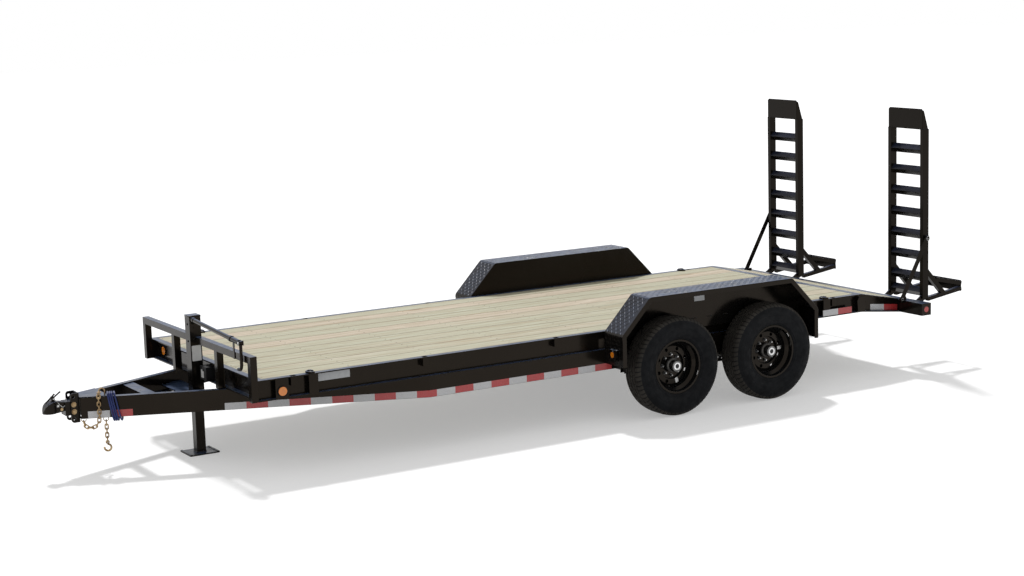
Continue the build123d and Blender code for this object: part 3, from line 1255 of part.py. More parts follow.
def equalizer():
    """Left rocker between the two springs, with a pair of links to each inner eye."""
    z = eye_height()
    y0 = spring_mid_y() - 12
    y1 = spring_mid_y() + 12
    tip = AXLE_PITCH / 2 - SPRING_L / 2 - 6
    mid_z = z - 24
    outline = [(-tip, -26), (-tip, -4), (0, 20), (tip, -4), (tip, -26), (0, -20)]
    body = side_plate([(-TANDEM_X + along, mid_z + up) for along, up in outline], y0, y1)
    body -= rod_y(SPRING_BOLT_R + 0.1, y0 - 1, y1 + 1, -TANDEM_X, mid_z)
    links = []
    for k in (-1, 1):
        x = -TANDEM_X + k * (AXLE_PITCH / 2 - SPRING_L / 2)
        link = cheek_pair(x, 13, mid_z - 34, z + 15, z)
        low_bolt = spring_mid_y() + SPRING_W / 2 + CHEEK_GAP
        link += rod_y(SPRING_BOLT_R, 2 * spring_mid_y() - low_bolt, low_bolt, x, mid_z - 16)
        body -= rod_y(SPRING_BOLT_R + 0.1, y0 - 1, y1 + 1, x, mid_z - 16)
        links.append(link)
    return [body] + links


save("left_main_rail", to_side(main_rail(), 1))
save("right_main_rail", to_side(main_rail(), -1))
save("left_tongue_rail", to_side(lower_rail(), 1))
save("right_tongue_rail", to_side(lower_rail(), -1))
save("front_crossmember", front_crossmember())
save("deck_crossmembers", deck_crossmembers())
save("kink_strip", kink_strip())
save("deck_boards", boards(-FLANGE - PLATE_GAP, -DECK_L + KINK_W / 2 + PLATE_GAP))
save("dovetail_boards", boards(-DECK_L - KINK_W / 2 - PLATE_GAP, BUMPER_X + PLATE_GAP))
save("stake_pockets", [piece for x in POCKETS for piece in both(stake_pocket(x))])
save("tie_plates", [piece for x in TIE_RINGS for left in tie_plate(x) for piece in both(left)])
save("tie_rings", [piece for x in TIE_RINGS for piece in both(tie_ring(x))])
save("battery_box", battery_box())
save("headboard", headboard())
save("jack_body", jack_body())
save("jack_leg", jack_leg())
save("jack_crank", jack_crank())
save("tongue_plates", tongue_plates())
save("coupler_bracket", coupler_bracket())
save("coupler", coupler())
save("coupler_bolts", coupler_bolts())
save("coupler_latch", coupler_latch())
save("chain_keepers", chain_keepers())
save("safety_chains", slung_chain()[0] + hanging_chain()[0] + [chain_hook()])
save("cable_clamp", cable_clamp())
save("trailer_cable", trailer_cable())
save("trailer_plug", trailer_plug())
save("amber_lights", [piece for left in amber_lights() for piece in both(left)])
save("light_brackets", [piece for left in light_brackets() for piece in both(left)])
save("red_lights", red_lights())
save("rear_bumper", rear_bumper())
for name, side in SIDES.items():
    save(f"{name}_fender", to_side(fender(), side))
    save(f"{name}_ramp_frame", to_side(ramp_frame() + ramp_knee(), side))
    save(f"{name}_ramp_steps", [to_side(step, side) for step in ramp_steps()])
    save(f"{name}_brace", to_side(brace(), side))
save("axles", [axle(x) for x in AXLES.values()])
for place, x in AXLES.items():
    for name, side in SIDES.items():
        save(f"{place}_{name}_tyre", to_side(tyre(x), side))
        save(f"{place}_{name}_wheel", to_side(wheel(x), side))
        save(f"{place}_{name}_hub", to_side(hub(x), side))
save("spring_hangers", [piece for left in hangers() for piece in both(left)])
save("equalizers", [piece for left in equalizer() for piece in both(left)])
save("leaf_springs", [s for x in AXLES.values() for s in both(leaf_spring(x))])
print(len(written), "nodes, overall length", NOSE_X - TAIL_END)
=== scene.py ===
"""Looks of the tandem-axle car transporter trailer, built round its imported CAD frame.

Metres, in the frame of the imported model: +X towards the coupler, +Y to the trailer's
left, +Z up. Most places are given from the deck's front edge, at FRONT, as in the CAD.
"""
from math import copysign, cos, hypot, pi, radians, sin, tan

import bmesh
import bpy
from mathutils import Matrix, Vector


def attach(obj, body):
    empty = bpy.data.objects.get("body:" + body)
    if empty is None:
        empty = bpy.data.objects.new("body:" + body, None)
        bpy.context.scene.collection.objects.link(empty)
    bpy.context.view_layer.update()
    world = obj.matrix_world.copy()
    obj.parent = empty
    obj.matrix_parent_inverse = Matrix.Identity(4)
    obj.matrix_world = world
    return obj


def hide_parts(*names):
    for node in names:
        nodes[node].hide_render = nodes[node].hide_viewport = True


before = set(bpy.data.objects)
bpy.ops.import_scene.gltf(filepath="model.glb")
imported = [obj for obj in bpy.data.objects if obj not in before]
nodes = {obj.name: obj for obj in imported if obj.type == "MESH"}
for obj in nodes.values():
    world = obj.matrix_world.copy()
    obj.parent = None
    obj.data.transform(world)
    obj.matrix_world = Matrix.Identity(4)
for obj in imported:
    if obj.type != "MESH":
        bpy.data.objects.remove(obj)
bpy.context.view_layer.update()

# -------------------- sizes from the CAD
FRONT = 2.7025  # deck's front edge in the row frame
DECK_H = 0.706
RAIL_OUT = 1.0414  # flange tips of the main rails
RAIL_D = 0.1524
FLANGE = 0.0488
FLANGE_T = 0.0087
WEB = 0.0051
RAIL_IN = RAIL_OUT - FLANGE
WEB_FACE = RAIL_IN + WEB  # outer face of the main rail's web
RAIL_LOW = DECK_H - RAIL_D
DECK_L = 5.486
TAIL_L = 0.443
TAIL_DROP = 0.091
BUMPER_X = -(DECK_L + TAIL_L)
TAIL_TOP = DECK_H - TAIL_DROP
BUMPER_TOP = TAIL_TOP - 0.012  # a little under the dovetail's end
BUMPER_S = 0.102
BUMPER_REAR = BUMPER_X - BUMPER_S
BUMPER_HALF = 1.295
BOARD_N = 11
BOARD_GAP = 0.003
CROSS_N = 9  # crossmembers under the deck, the last at the kink
CROSS_W = 0.036
TONGUE_D = 0.1524
TONGUE_LOW = RAIL_LOW - TONGUE_D
TONGUE_HALF = 0.482
TONGUE_SLOPE = 0.414
TONGUE_END = 0.957
AHEAD, LEFT, UP = Vector((1, 0, 0)), Vector((0, 1, 0)), Vector((0, 0, 1))
SLANT = hypot(1, TONGUE_SLOPE)
ALONG = Vector((1, -TONGUE_SLOPE, 0)) / SLANT
OUTWARD = Vector((TONGUE_SLOPE, 1, 0)) / SLANT
JACK_X = 0.0455
JACK_HALF = 0.0445
JACK_TOP = 1.040
CARRIER_TOP = 0.4636  # jack's carrier plate
TYRE_R = 0.391
TYRE_MID = 1.175
TREAD_N = 64  # tread blocks round a tyre
STUD_N = 8
STUD_R = 0.08255
DISC_IN = 0.0205  # wheel's mounting face, inside the tyre's middle
AXLE_X = {"front": -3.4305, "rear": -4.3625}
SIDES = {"left": 1, "right": -1}
FENDER_IN = 1.0414
FENDER_OUT = 1.295
FENDER_TOP = 0.971
FENDER_FRONT = -2.8905
FENDER_L = 1.915
FENDER_RUN = 0.262  # level length of each slope
FENDER_BEND = 0.038  # outer radius of its folds
FENDER_LOW = 0.455
FENDER_KNEE = 0.700
RAMP_MID = 0.835
RAMP_W = 0.440
RAMP_RAIL_W = 0.038
RAMP_TOP = 2.215
RAMP_FACE = -6.158  # tread face of a standing ramp
RAMP_DEPTH = 0.064
TIP_H = 0.172
STEP_PITCH = 0.1822
STEP_N = 7
STEP_TOP = 0.176  # first cleat's corner under the tip plate
LOW_STEP_Z = 0.644  # corner of the last cleat
STEP_REACH = 0.0396  # cleat's depth, and its height each side of the corner
BRACE_OUT = RAMP_MID + RAMP_W / 2 + 0.0265  # outer face of a brace
BRACE_TOP_Z = 1.120  # its upper pin
MARKER_Y = 1.200  # marker light ahead of each fender
BOX_Y = (0.078, 0.193)  # battery box
CRANK_X = JACK_X + 0.022
CRANK_Z = 1.012  # its shaft at the jack
CRANK_FALL = 0.045  # how far the shaft falls by its clevis
CRANK_R = 0.016
CRANK_END = 0.930  # clevis pin
HINGE_X = -6.105
HINGE_Z = 0.558


# -------------------- camera, floor and light
SUN = 2.6  # strength of the key
SKY_LIT = 0.55  # surround's strength on the model
SKY_SEEN = 1.0  # and as the background that is seen
FLOOR_GLOW = 0.36  # lifts the floor's seen colour to the background's
SQUARE = ((-1, -1), (1, -1), (1, 1), (-1, 1))


def at(x, y, z):
    """A place given from the deck's front edge, in the row frame."""
    return Vector((x + FRONT, y, z))


def join_scene(name, data):
    obj = bpy.data.objects.new(name, data)
    scene.collection.objects.link(obj)
    return obj


def put(tree, value, socket):
    """A linked output, or a plain number or colour, into a socket."""
    if isinstance(value, bpy.types.NodeSocket):
        tree.links.new(value, socket)
    elif socket.type == "RGBA":
        socket.default_value = (*value, 1)
    else:
        socket.default_value = value


def new_node(tree, kind, feeds=None, **settings):
    """A new node with its settings, and its inputs fed."""
    made = tree.nodes.new(kind)
    for key, value in settings.items():
        setattr(made, key, value)
    for key, value in (feeds or {}).items():
        put(tree, value, made.inputs[key])
    return made


def make_camera():
    yaw, pitch, roll = radians(-121.657), radians(-9.335), radians(-1.603)
    ahead = Vector((cos(yaw) * cos(pitch), sin(yaw) * cos(pitch), sin(pitch)))
    right = ahead.cross(UP).normalized()
    up = right.cross(ahead)
    right, up = right * cos(roll) + up * sin(roll), up * cos(roll) - right * sin(roll)
    data = bpy.data.cameras.new("camera")
    data.sensor_width = 36.0
    data.lens = 69.28
    data.shift_x = -0.0311
    data.clip_end = 200.0
    camera = join_scene("camera", data)
    turn = Matrix((right, up, -ahead)).transposed().to_4x4()
    camera.matrix_world = Matrix.Translation((8.039, 13.517, 3.512)) @ turn
    scene.camera = camera


def seen_rays(tree):
    """1 for the rays that show a background: from the camera, in a gloss or through glass."""
    path = new_node(tree, "ShaderNodeLightPath").outputs
    seen = path["Is Camera Ray"]
    for kind in ("Is Glossy Ray", "Is Transmission Ray"):
        seen = new_node(tree, "ShaderNodeMath", {0: seen, 1: path[kind]}, operation="MAXIMUM").outputs[0]
    return seen


def make_light():
    """A broad key from behind the far side and an even surround."""
    data = bpy.data.lights.new("key", "SUN")
    data.energy = SUN
    data.angle = radians(5)
    key = join_scene("key", data)
    travel = Vector((0.2, 0.6, -1.0))
    key.rotation_mode = "QUATERNION"
    key.rotation_quaternion = travel.to_track_quat("-Z", "Y")
    world = bpy.data.worlds.new("surround")
    world.use_nodes = True
    scene.world = world
    tree = world.node_tree
    tree.nodes.clear()
    feeds = {0: seen_rays(tree)}
    for slot, strength in ((1, SKY_LIT), (2, SKY_SEEN)):
        white = {"Color": (1, 1, 1), "Strength": strength}
        feeds[slot] = new_node(tree, "ShaderNodeBackground", white).outputs[0]
    mix = new_node(tree, "ShaderNodeMixShader", feeds)
    new_node(tree, "ShaderNodeOutputWorld", {"Surface": mix.outputs[0]})


def make_floor():
    mesh = bpy.data.meshes.new("floor")
    mesh.from_pydata([(60 * x, 60 * y, 0) for x, y in SQUARE], [], [(0, 1, 2, 3)])
    s = Surface("floor", Base_Color=(0.7, 0.7, 0.7), Roughness=1.0, Specular_IOR_Level=0.0,
                Emission_Color=(1, 1, 1))
    s.put(s.times(seen_rays(s.tree), FLOOR_GLOW), "Emission Strength")
    mesh.materials.append(s.mat)
    join_scene("floor", mesh)


# -------------------- materials
def scaled(colour, factor):
    return tuple(c * factor for c in colour)


class Surface:
    """A node material, put together step by step; _ in a socket's keyword is a space."""

    def __init__(self, name, **sockets):
        self.mat = bpy.data.materials.new(name)
        self.mat.use_nodes = True
        self.tree = self.mat.node_tree
        self.shader = self.tree.nodes["Principled BSDF"]
        self.place = self.node("ShaderNodeTexCoord").outputs["Object"]
        for socket, value in sockets.items():
            self.put(value, socket.replace("_", " "))

    def node(self, kind, feeds=None, **settings):
        return new_node(self.tree, kind, feeds, **settings)

    def put(self, value, socket):
        put(self.tree, value, self.shader.inputs[socket])

    def maths(self, operation, a, b=0.0):
        return self.node("ShaderNodeMath", {0: a, 1: b}, operation=operation).outputs[0]

    def plus(self, a, b):
        return self.maths("ADD", a, b)

    def times(self, a, b):
        return self.maths("MULTIPLY", a, b)

    def stretch(self, scale, source=None):
        feeds = {"Vector": source or self.place, "Scale": scale}
        return self.node("ShaderNodeMapping", feeds).outputs[0]

    def noise(self, scale, detail=3.0, rough=0.55, source=None):
        feeds = {"Vector": source or self.place, "Scale": scale, "Detail": detail, "Roughness": rough}
        return self.node("ShaderNodeTexNoise", feeds).outputs["Fac"]

    def span(self, value, low, high, to_low=0.0, to_high=1.0):
        feeds = {"Value": value, "From Min": low, "From Max": high, "To Min": to_low, "To Max": to_high}
        return self.node("ShaderNodeMapRange", feeds, interpolation_type="SMOOTHSTEP").outputs["Result"]

    def mix(self, factor, a, b):
        return self.node("ShaderNodeMix", {0: factor, 6: a, 7: b}, data_type="RGBA").outputs[2]

    def split(self, vector):
        return self.node("ShaderNodeSeparateXYZ", {0: vector}).outputs

    def facing_up(self):
        """How much a face looks up, 0 to 1, from its own normal."""
        normal = self.node("ShaderNodeNewGeometry").outputs["Normal"]
        return self.span(self.split(normal)[2], 0.55, 0.95)

    def finish(self, colour, rough, bumps, soft_edge=None):
        """Bumps are (height, strength, distance), over rounded edges if asked."""
        self.put(colour, "Base Color")
        self.put(rough, "Roughness")
        normal = None
        if soft_edge:
            normal = self.node("ShaderNodeBevel", {"Radius": soft_edge}, samples=4).outputs[0]
        for height, strength, distance in bumps:
            feeds = {"Strength": strength, "Distance": distance, "Height": height}
            if normal:
                feeds["Normal"] = normal
            normal = self.node("ShaderNodeBump", feeds).outputs[0]
        self.put(normal, "Normal")
        return self.mat


def paint(name, colour, top, rough=0.17, dust=0.5, ior=1.29):
    """Gloss enamel over steel: slight orange peel, uneven gloss; what looks up gets a painted blue-grey
    sky reflection in its colour, and a film of dust that dulls its gloss.
    """
    s = Surface(name, IOR=ior, Specular_Tint=(0.86, 0.7, 0.55))
    patch = s.span(s.noise(1.7, 5), 0.35, 0.7)
    shade = s.mix(patch, scaled(colour, 0.8), scaled(colour, 1.3))
    # painted sky reflection: this mask of faces that look up mixes the top colour into the enamel's
    # colour, and the same mask roughens them as dust
    dust_and_sheen = s.times(s.facing_up(), s.span(s.noise(9, 6), 0.2, 0.75, 0.45, 1.0))
    shade = s.mix(dust_and_sheen, shade, top)
    smear = s.span(s.noise(14, 4, source=s.stretch((1, 1, 0.35))), 0.3, 0.75, rough * 0.75, rough * 1.5)
    gloss = s.plus(smear, s.times(dust_and_sheen, 0.42 * dust))
    bumps = [(s.noise(160, 2), 0.05, 0.0006), (s.noise(7, 3), 0.1, 0.002)]
    return s.finish(shade, gloss, bumps, 0.0022)


def wood(name, dark, pale, green):
    """Treated pine boards along x: grain lines, knots, and a tone of its own for each board."""
    s = Surface(name, IOR=1.45)
    pitch = (2 * RAIL_IN - BOARD_GAP) / BOARD_N
    x, y, z = s.split(s.place)
    count = s.maths("DIVIDE", s.plus(y, RAIL_IN - BOARD_GAP / 2), pitch)
    board = s.maths("FLOOR", count)
    beside = s.maths("ABSOLUTE", s.maths("SUBTRACT", s.maths("SUBTRACT", count, board), 0.5))
    own = s.node("ShaderNodeTexWhiteNoise", {"W": board}, noise_dimensions="1D").outputs["Value"]
    feeds = {0: s.plus(x, s.times(own, 37.0)), 1: s.plus(y, s.times(own, 5.3)), 2: z}
    flow = s.node("ShaderNodeCombineXYZ", feeds).outputs[0]

    def drawn_out(along, across, detail, rough=0.55):
        """Noise that is long along the board."""
        return s.noise(1.0, detail, rough, s.stretch((along, across, across), flow))

    rings = s.span(s.maths("SINE", s.times(drawn_out(0.55, 5.5, 3), 95.0)), -1.0, 1.0)
    fibre = drawn_out(5.0, 260.0, 6, 0.7)
    streak = drawn_out(0.8, 34.0, 4)
    feeds = {"Vector": s.stretch((1.15, 6.4, 6.4), flow), "Scale": 1.0}
    knots = s.node("ShaderNodeTexVoronoi", feeds, feature="F1").outputs
    rare = s.span(s.split(knots["Color"])[0], 0.62, 0.64)
    knot = s.times(s.span(knots["Distance"], 0.045, 0.11, 1.0, 0.0), rare)
    halo = s.times(s.span(knots["Distance"], 0.1, 0.3, 1.0, 0.0), rare)
    soil = s.span(s.noise(2.3, 6, 0.65), 0.58, 0.8)
    tone = s.plus(s.times(own, 0.75), s.times(drawn_out(0.5, 4.0, 3), 0.6))
    base = s.mix(s.span(tone, 0.5, 0.78), pale, green)
    for share, weight, colour in (
            (rings, 0.3, dark),
            (s.span(streak, 0.42, 0.7), 0.62, dark),
            (s.span(fibre, 0.3, 0.8), 0.22, scaled(dark, 0.62)),
            (halo, 0.4, (0.36, 0.24, 0.12)),
            (knot, 0.85, (0.13, 0.07, 0.035)),
            (s.span(beside, 0.455, 0.49), 0.8, (0.085, 0.06, 0.038)),
            (soil, 0.25, (0.33, 0.27, 0.19))):
        base = s.mix(s.times(share, weight), base, colour)
    rough = s.span(fibre, 0.2, 0.8, 0.62, 0.86)
    height = s.plus(s.times(fibre, 0.6), s.times(rings, 0.4))
    return s.finish(base, rough, [(height, 0.35, 0.0012), (knot, 0.3, 0.001)])


def rubber(name, colour, rough=0.62, ior=1.2):
    """Tyre rubber: dull, with fine grain and rubbed-in dust."""
    s = Surface(name, IOR=ior)
    patch = s.span(s.noise(9, 5), 0.35, 0.7)
    shade = s.mix(patch, colour, scaled(colour, 1.6))
    dust = s.span(s.noise(38, 6, 0.7), 0.58, 0.82)
    shade = s.mix(s.times(dust, 0.12), shade, (0.06, 0.056, 0.05))
    gloss = s.span(s.noise(26, 4), 0.3, 0.7, rough - 0.1, rough + 0.14)
    return s.finish(shade, gloss, [(s.noise(420, 3), 0.25, 0.0008), (s.noise(60, 3), 0.12, 0.001)])


def metal(name, colour, rough=0.32, tarnish=None):
    """Bare or plated metal with uneven plating and fine scratches."""
    s = Surface(name, Metallic=1.0)
    patch = s.span(s.noise(30, 5), 0.35, 0.7)
    shade = s.mix(patch, colour, tarnish or scaled(colour, 0.6))
    gloss = s.span(s.noise(70, 4), 0.3, 0.75, rough * 0.7, rough * 1.5)
    return s.finish(shade, gloss, [(s.noise(540, 3), 0.12, 0.0005)])


def plastic(name, colour, rough=0.4, ior=1.46):
    s = Surface(name, IOR=ior)
    shade = s.mix(s.span(s.noise(16, 4), 0.35, 0.7), colour, scaled(colour, 1.35))
    gloss = s.span(s.noise(45, 4), 0.3, 0.75, rough * 0.8, rough * 1.25)
    return s.finish(shade, gloss, [(s.noise(600, 2), 0.14, 0.0005)], 0.0015)


def lens(name, colour, deep):
    """Coloured lamp lens with a grid of prisms behind a glossy skin."""
    s = Surface(name, IOR=1.49, Coat_Weight=0.6, Coat_Roughness=0.04)
    x, y, z = s.split(s.place)
    rows = s.maths("ABSOLUTE", s.maths("SINE", s.times(z, 520.0)))
    cols = s.maths("ABSOLUTE", s.maths("SINE", s.times(s.plus(x, y), 520.0)))
    grid = s.times(rows, cols)
    shade = s.mix(s.span(grid, 0.0, 0.9), deep, colour)
    shade = s.mix(s.span(s.noise(55, 3), 0.45, 0.7, 0.0, 0.4), shade, scaled(colour, 0.55))
    return s.finish(shade, s.span(s.noise(40, 3), 0.3, 0.7, 0.09, 0.2), [(grid, 0.35, 0.0012)])


def tape(name, colour, glint):
    """Retroreflective tape: small hexagonal cells under a clear skin."""
    s = Surface(name, IOR=1.5, Coat_Weight=0.35, Coat_Roughness=0.12)
    feeds = {"Vector": s.place, "Scale": 240.0}
    cells = s.node("ShaderNodeTexVoronoi", feeds, feature="DISTANCE_TO_EDGE")
    edge = s.span(cells.outputs["Distance"], 0.02, 0.09)
    shade = s.mix(edge, glint, colour)
    dirt = s.span(s.noise(24, 6, 0.7), 0.55, 0.8, 0.0, 0.3)
    shade = s.mix(dirt, shade, scaled(colour, 0.55))
    return s.finish(shade, s.span(s.noise(30, 3), 0.3, 0.7, 0.28, 0.42), [(edge, 0.12, 0.0004)])


def label(name, colour, rough=0.38):
    """A plain blank label, a little soiled."""
    s = Surface(name, IOR=1.47)
    soil = s.span(s.noise(35, 6, 0.7), 0.5, 0.8, 0.0, 0.45)
    shade = s.mix(soil, colour, scaled(colour, 0.7))
    gloss = s.span(s.noise(22, 3), 0.3, 0.7, rough * 0.8, rough * 1.3)
    return s.finish(shade, gloss, [(s.noise(90, 3), 0.08, 0.0004)])


# painted sky reflection: the second colour of each enamel below is the blue-grey that its faces looking up
# are painted with
TOP_SKY_SHEEN = (0.045, 0.07, 0.13)
PAINT = paint("frame_enamel", (0.0052, 0.0043, 0.0034), TOP_SKY_SHEEN)
FENDER = paint("fender_enamel", (0.005, 0.0046, 0.0042), (0.05, 0.076, 0.14), 0.15)
LOZENGE = paint("lozenge_enamel", (0.006, 0.006, 0.0062), (0.19, 0.24, 0.34), 0.12, 0.3)
RAMP_PAINT = paint("ramp_enamel", (0.005, 0.0042, 0.0034), (0.034, 0.048, 0.1), 0.2, 0.5, 1.22)
JACK_PAINT = paint("jack_enamel", (0.0046, 0.0042, 0.0038), TOP_SKY_SHEEN, 0.16)
WHEEL_PAINT = paint("wheel_enamel", (0.005, 0.005, 0.0052), (0.008, 0.009, 0.011), 0.13, 0.2)
CAST = paint("cast_enamel", (0.004, 0.004, 0.0042), (0.018, 0.026, 0.05), 0.26, 0.6)
UNDER = paint("axle_enamel", (0.005, 0.0048, 0.0046), (0.012, 0.012, 0.013), 0.34, 0.8)
WOOD = wood("pine_boards", (0.295, 0.228, 0.138), (0.525, 0.45, 0.352), (0.432, 0.432, 0.322))
RUBBER = rubber("tyre_rubber", (0.004, 0.0044, 0.0052))
TREAD = rubber("tread_rubber", (0.023, 0.0205, 0.0175), 0.75, 1.3)
SOFT_BLACK = plastic("black_plastic", (0.008, 0.008, 0.009), 0.42, 1.38)
GASKET = rubber("gasket", (0.007, 0.007, 0.007), 0.7)
JACKET = plastic("cable_jacket", (0.014, 0.024, 0.105), 0.38, 1.36)
GOLD = metal("gold_zinc", (0.4, 0.29, 0.16), 0.4, (0.2, 0.13, 0.07))
ZINC = metal("bright_zinc", (0.5, 0.5, 0.49), 0.28, (0.26, 0.26, 0.26))
CHROME = metal("chrome", (0.72, 0.72, 0.72), 0.12, (0.5, 0.5, 0.5))
NUT = metal("nut_steel", (0.19, 0.19, 0.19), 0.34, (0.09, 0.09, 0.09))
SPRING = metal("spring_steel", (0.075, 0.07, 0.066), 0.45)
HUB = metal("hub_iron", (0.08, 0.076, 0.072), 0.42)
AMBER = lens("amber_lens", (0.95, 0.33, 0.02), (0.55, 0.11, 0.0))
RED = lens("red_lens", (0.62, 0.02, 0.016), (0.24, 0.0, 0.0))
TAPE_WHITE = tape("white_tape", (0.46, 0.46, 0.47), (0.62, 0.62, 0.63))
TAPE_RED = tape("red_tape", (0.36, 0.018, 0.02), (0.5, 0.05, 0.05))
LABEL_SILVER = label("silver_label", (0.42, 0.43, 0.44), 0.3)
LABEL_WHITE = label("white_label", (0.62, 0.62, 0.61))

NODE_LOOKS = {
    WOOD: ["deck_boards", "dovetail_boards"],
    FENDER: ["left_fender", "right_fender"],
    RAMP_PAINT: ["left_ramp_frame", "right_ramp_frame", "left_ramp_steps", "right_ramp_steps",
                 "left_brace", "right_brace"],
    JACK_PAINT: ["jack_body", "jack_leg", "jack_crank"],
    CAST: ["coupler", "coupler_latch", "coupler_bracket"],
    UNDER: ["axles", "spring_hangers", "equalizers", "deck_crossmembers"],
    SPRING: ["leaf_springs"],
    GOLD: ["safety_chains", "coupler_bolts", "chain_keepers"],
    JACKET: ["trailer_cable"],
    SOFT_BLACK: ["battery_box", "cable_clamp", "trailer_plug"],
    AMBER: ["amber_lights"],
    RED: ["red_lights"],
}


def dress_nodes():
    """Each CAD node gets its material; what isn't listed is frame enamel."""
    look = {name: material for material, names in NODE_LOOKS.items() for name in names}
    endings = {"tyre": RUBBER, "wheel": WHEEL_PAINT, "hub": HUB}
    for name, obj in nodes.items():
        obj.data.materials.clear()
        obj.data.materials.append(look.get(name) or endings.get(name.split("_")[-1], PAINT))


# -------------------- mesh code
TIP = 0.0001  # radius that closes a turned outline


def turns(count, start=0.0):
    """Even angles all the way round."""
    return [start + 2 * pi * k / count for k in range(count)]


def wall_faces(n):
    """Faces round a prism of n corners, its lower corners first."""
    return [(i, (i + 1) % n, n + (i + 1) % n, n + i) for i in range(n)]


def ring_faces(rows, count, closed):
    """Faces between rings of places, with a cap at each end unless the rings close."""
    faces = []
    for i in range(rows if closed else rows - 1):
        j = (i + 1) % rows
        for k in range(count):
            m = (k + 1) % count
            faces.append((i * count + k, i * count + m, j * count + m, j * count + k))
    if not closed:
        faces += [tuple(range(count))[::-1], tuple((rows - 1) * count + k for k in range(count))]
    return faces


class Shape:
    """Collects faces for one piece, each with the number of its material."""

    def __init__(self):
        self.verts, self.faces, self.mats, self.flat = [], [], [], []

    def add(self, verts, faces, mat=0, flat=False):
        start = len(self.verts)
        self.verts += [Vector(v) for v in verts]
        self.faces += [tuple(start + i for i in face) for face in faces]
        self.mats += [mat] * len(faces)
        self.flat += [flat] * len(faces)

    def slab(self, corners, offset, mat=0):
        """A thin plate: corners in order round it, and the vector of its thickness."""
        n = len(corners)
        low = [Vector(c) for c in corners]
        high = [c + Vector(offset) for c in low]
        ends = [tuple(range(n))[::-1], tuple(range(n, 2 * n))]
        self.add(low + high, ends + wall_faces(n), mat, True)

    def block(self, low, high, mat=0, edge=0.0):
        """A box, with its edges cut back by edge."""
        low, high = Vector(low), Vector(high)
        bm = bmesh.new()
        bmesh.ops.create_cube(bm, size=1.0)
        size, mid = high - low, (high + low) / 2
        for v in bm.verts:
            v.co = Vector(v.co[i] * size[i] + mid[i] for i in range(3))
        if edge:
            bmesh.ops.bevel(bm, geom=bm.edges[:], offset=edge, segments=2, affect="EDGES", profile=0.5)
        bm.verts.index_update()
        faces = [[v.index for v in f.verts] for f in bm.faces]
        self.add([v.co.copy() for v in bm.verts], faces, mat, not edge)
        bm.free()

    def turned(self, outline, centre, axis, count=24, mat=0, start=0.0, closed=False):
        """An outline of (radius, height) turned about an axis through centre."""
        axis = Vector(axis).normalized()
        side = axis.orthogonal().normalized()
        other = axis.cross(side)
        centre = Vector(centre)
        verts = []
        for radius, height in outline:
            for a in turns(count, start):
                verts.append(centre + axis * height + (side * cos(a) + other * sin(a)) * radius)
        self.add(verts, ring_faces(len(outline), count, closed), mat, count <= 8)

    def tube(self, points, radius, count=10, mat=0, ripple=0.0, loop=False):
        """A round bar along points; radius may be a list, and ripple makes a weld bead of it."""
        points = [Vector(p) for p in points]
        n = len(points)
        radii = radius if isinstance(radius, (list, tuple)) else [radius] * n
        side = None
        verts = []
        for i, here in enumerate(points):
            before = points[i - 1] if i or loop else here
            after = points[(i + 1) % n] if i < n - 1 or loop else here
            way = (after - before).normalized()
            if side is None:
                side = way.orthogonal().normalized()
            side = (side - way * side.dot(way)).normalized()
            other = way.cross(side)
            r = radii[i] * (1 + ripple * (1 if i % 2 else -1))
            for a in turns(count):
                verts.append(here + (side * cos(a) + other * sin(a)) * r)
        self.add(verts, ring_faces(n, count, loop), mat)

    def bead(self, start, end, radius=0.0035, mat=0):
        """A weld bead between two points, with the ripples of its passes."""
        start, end = Vector(start), Vector(end)
        steps = max(4, int((end - start).length / 0.0035))
        points = [start.lerp(end, i / steps) for i in range(steps + 1)]
        self.tube(points, radius, 6, mat, 0.13)

    def weld(self, side, start, end, radius=0.003):
        """A bead between two places of (x, y, z) from the deck's front edge, y towards that side."""
        self.bead(*(at(x, side * y, z) for x, y, z in (start, end)), radius)

    def disc(self, radius, low, high, centre, axis, count, mat=0):
        """A flat round head from low to high along its axis."""
        self.turned([(radius, low), (radius, high), (TIP, high)], centre, axis, count, mat)

    def bolt(self, centre, axis, across, height, mat=0):
        """A hexagon head on its washer; across is the flats' distance."""
        r = across / 1.732
        wide, thick = r * 1.28, 0.0016
        self.turned([(TIP, 0), (wide, 0), (wide, thick), (TIP, thick)], centre, axis, 20, mat)
        head = [(r, 0.001), (r, height * 0.85), (r * 0.86, height), (TIP, height)]
        self.turned(head, centre, axis, 6, mat)

    def bent(self, points, bend, steps):
        """The points of a bar through corners, each rounded by a bend."""
        points = [Vector(p) for p in points]
        found = [points[0]]
        for before, here, after in zip(points, points[1:], points[2:]):
            r = min(bend, (here - before).length * 0.49, (after - here).length * 0.49)
            a = here + (before - here).normalized() * r
            b = here + (after - here).normalized() * r
            for i in range(steps + 1):
                t = i / steps
                found.append(a.lerp(here, t).lerp(here.lerp(b, t), t))
        return found + [points[-1]]

    def make(self, name, looks, body="chassis", smooth=True, replaced=()):
        """The piece's object: its materials, the body it rides on and what it replaces."""
        mesh = bpy.data.meshes.new(name)
        mesh.from_pydata([tuple(v) for v in self.verts], [], self.faces)
        for look in looks:
            mesh.materials.append(look)
        for face, mat, flat in zip(mesh.polygons, self.mats, self.flat):
            face.material_index = mat
            face.use_smooth = smooth and not flat
        mesh.update()
        obj = join_scene(name, mesh)
        fix_faces(mesh)
        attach(obj, body)
        if replaced:
            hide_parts(*replaced)
        return obj


def fix_faces(mesh):
    """All faces look outwards, and sharp corners stay sharp."""
    bm = bmesh.new()
    bm.from_mesh(mesh)
    bmesh.ops.recalc_face_normals(bm, faces=bm.faces)
    for edge in bm.edges:
        edge.smooth = len(edge.link_faces) == 2 and edge.calc_face_angle(0) < radians(38)
    bm.to_mesh(mesh)
    bm.free()


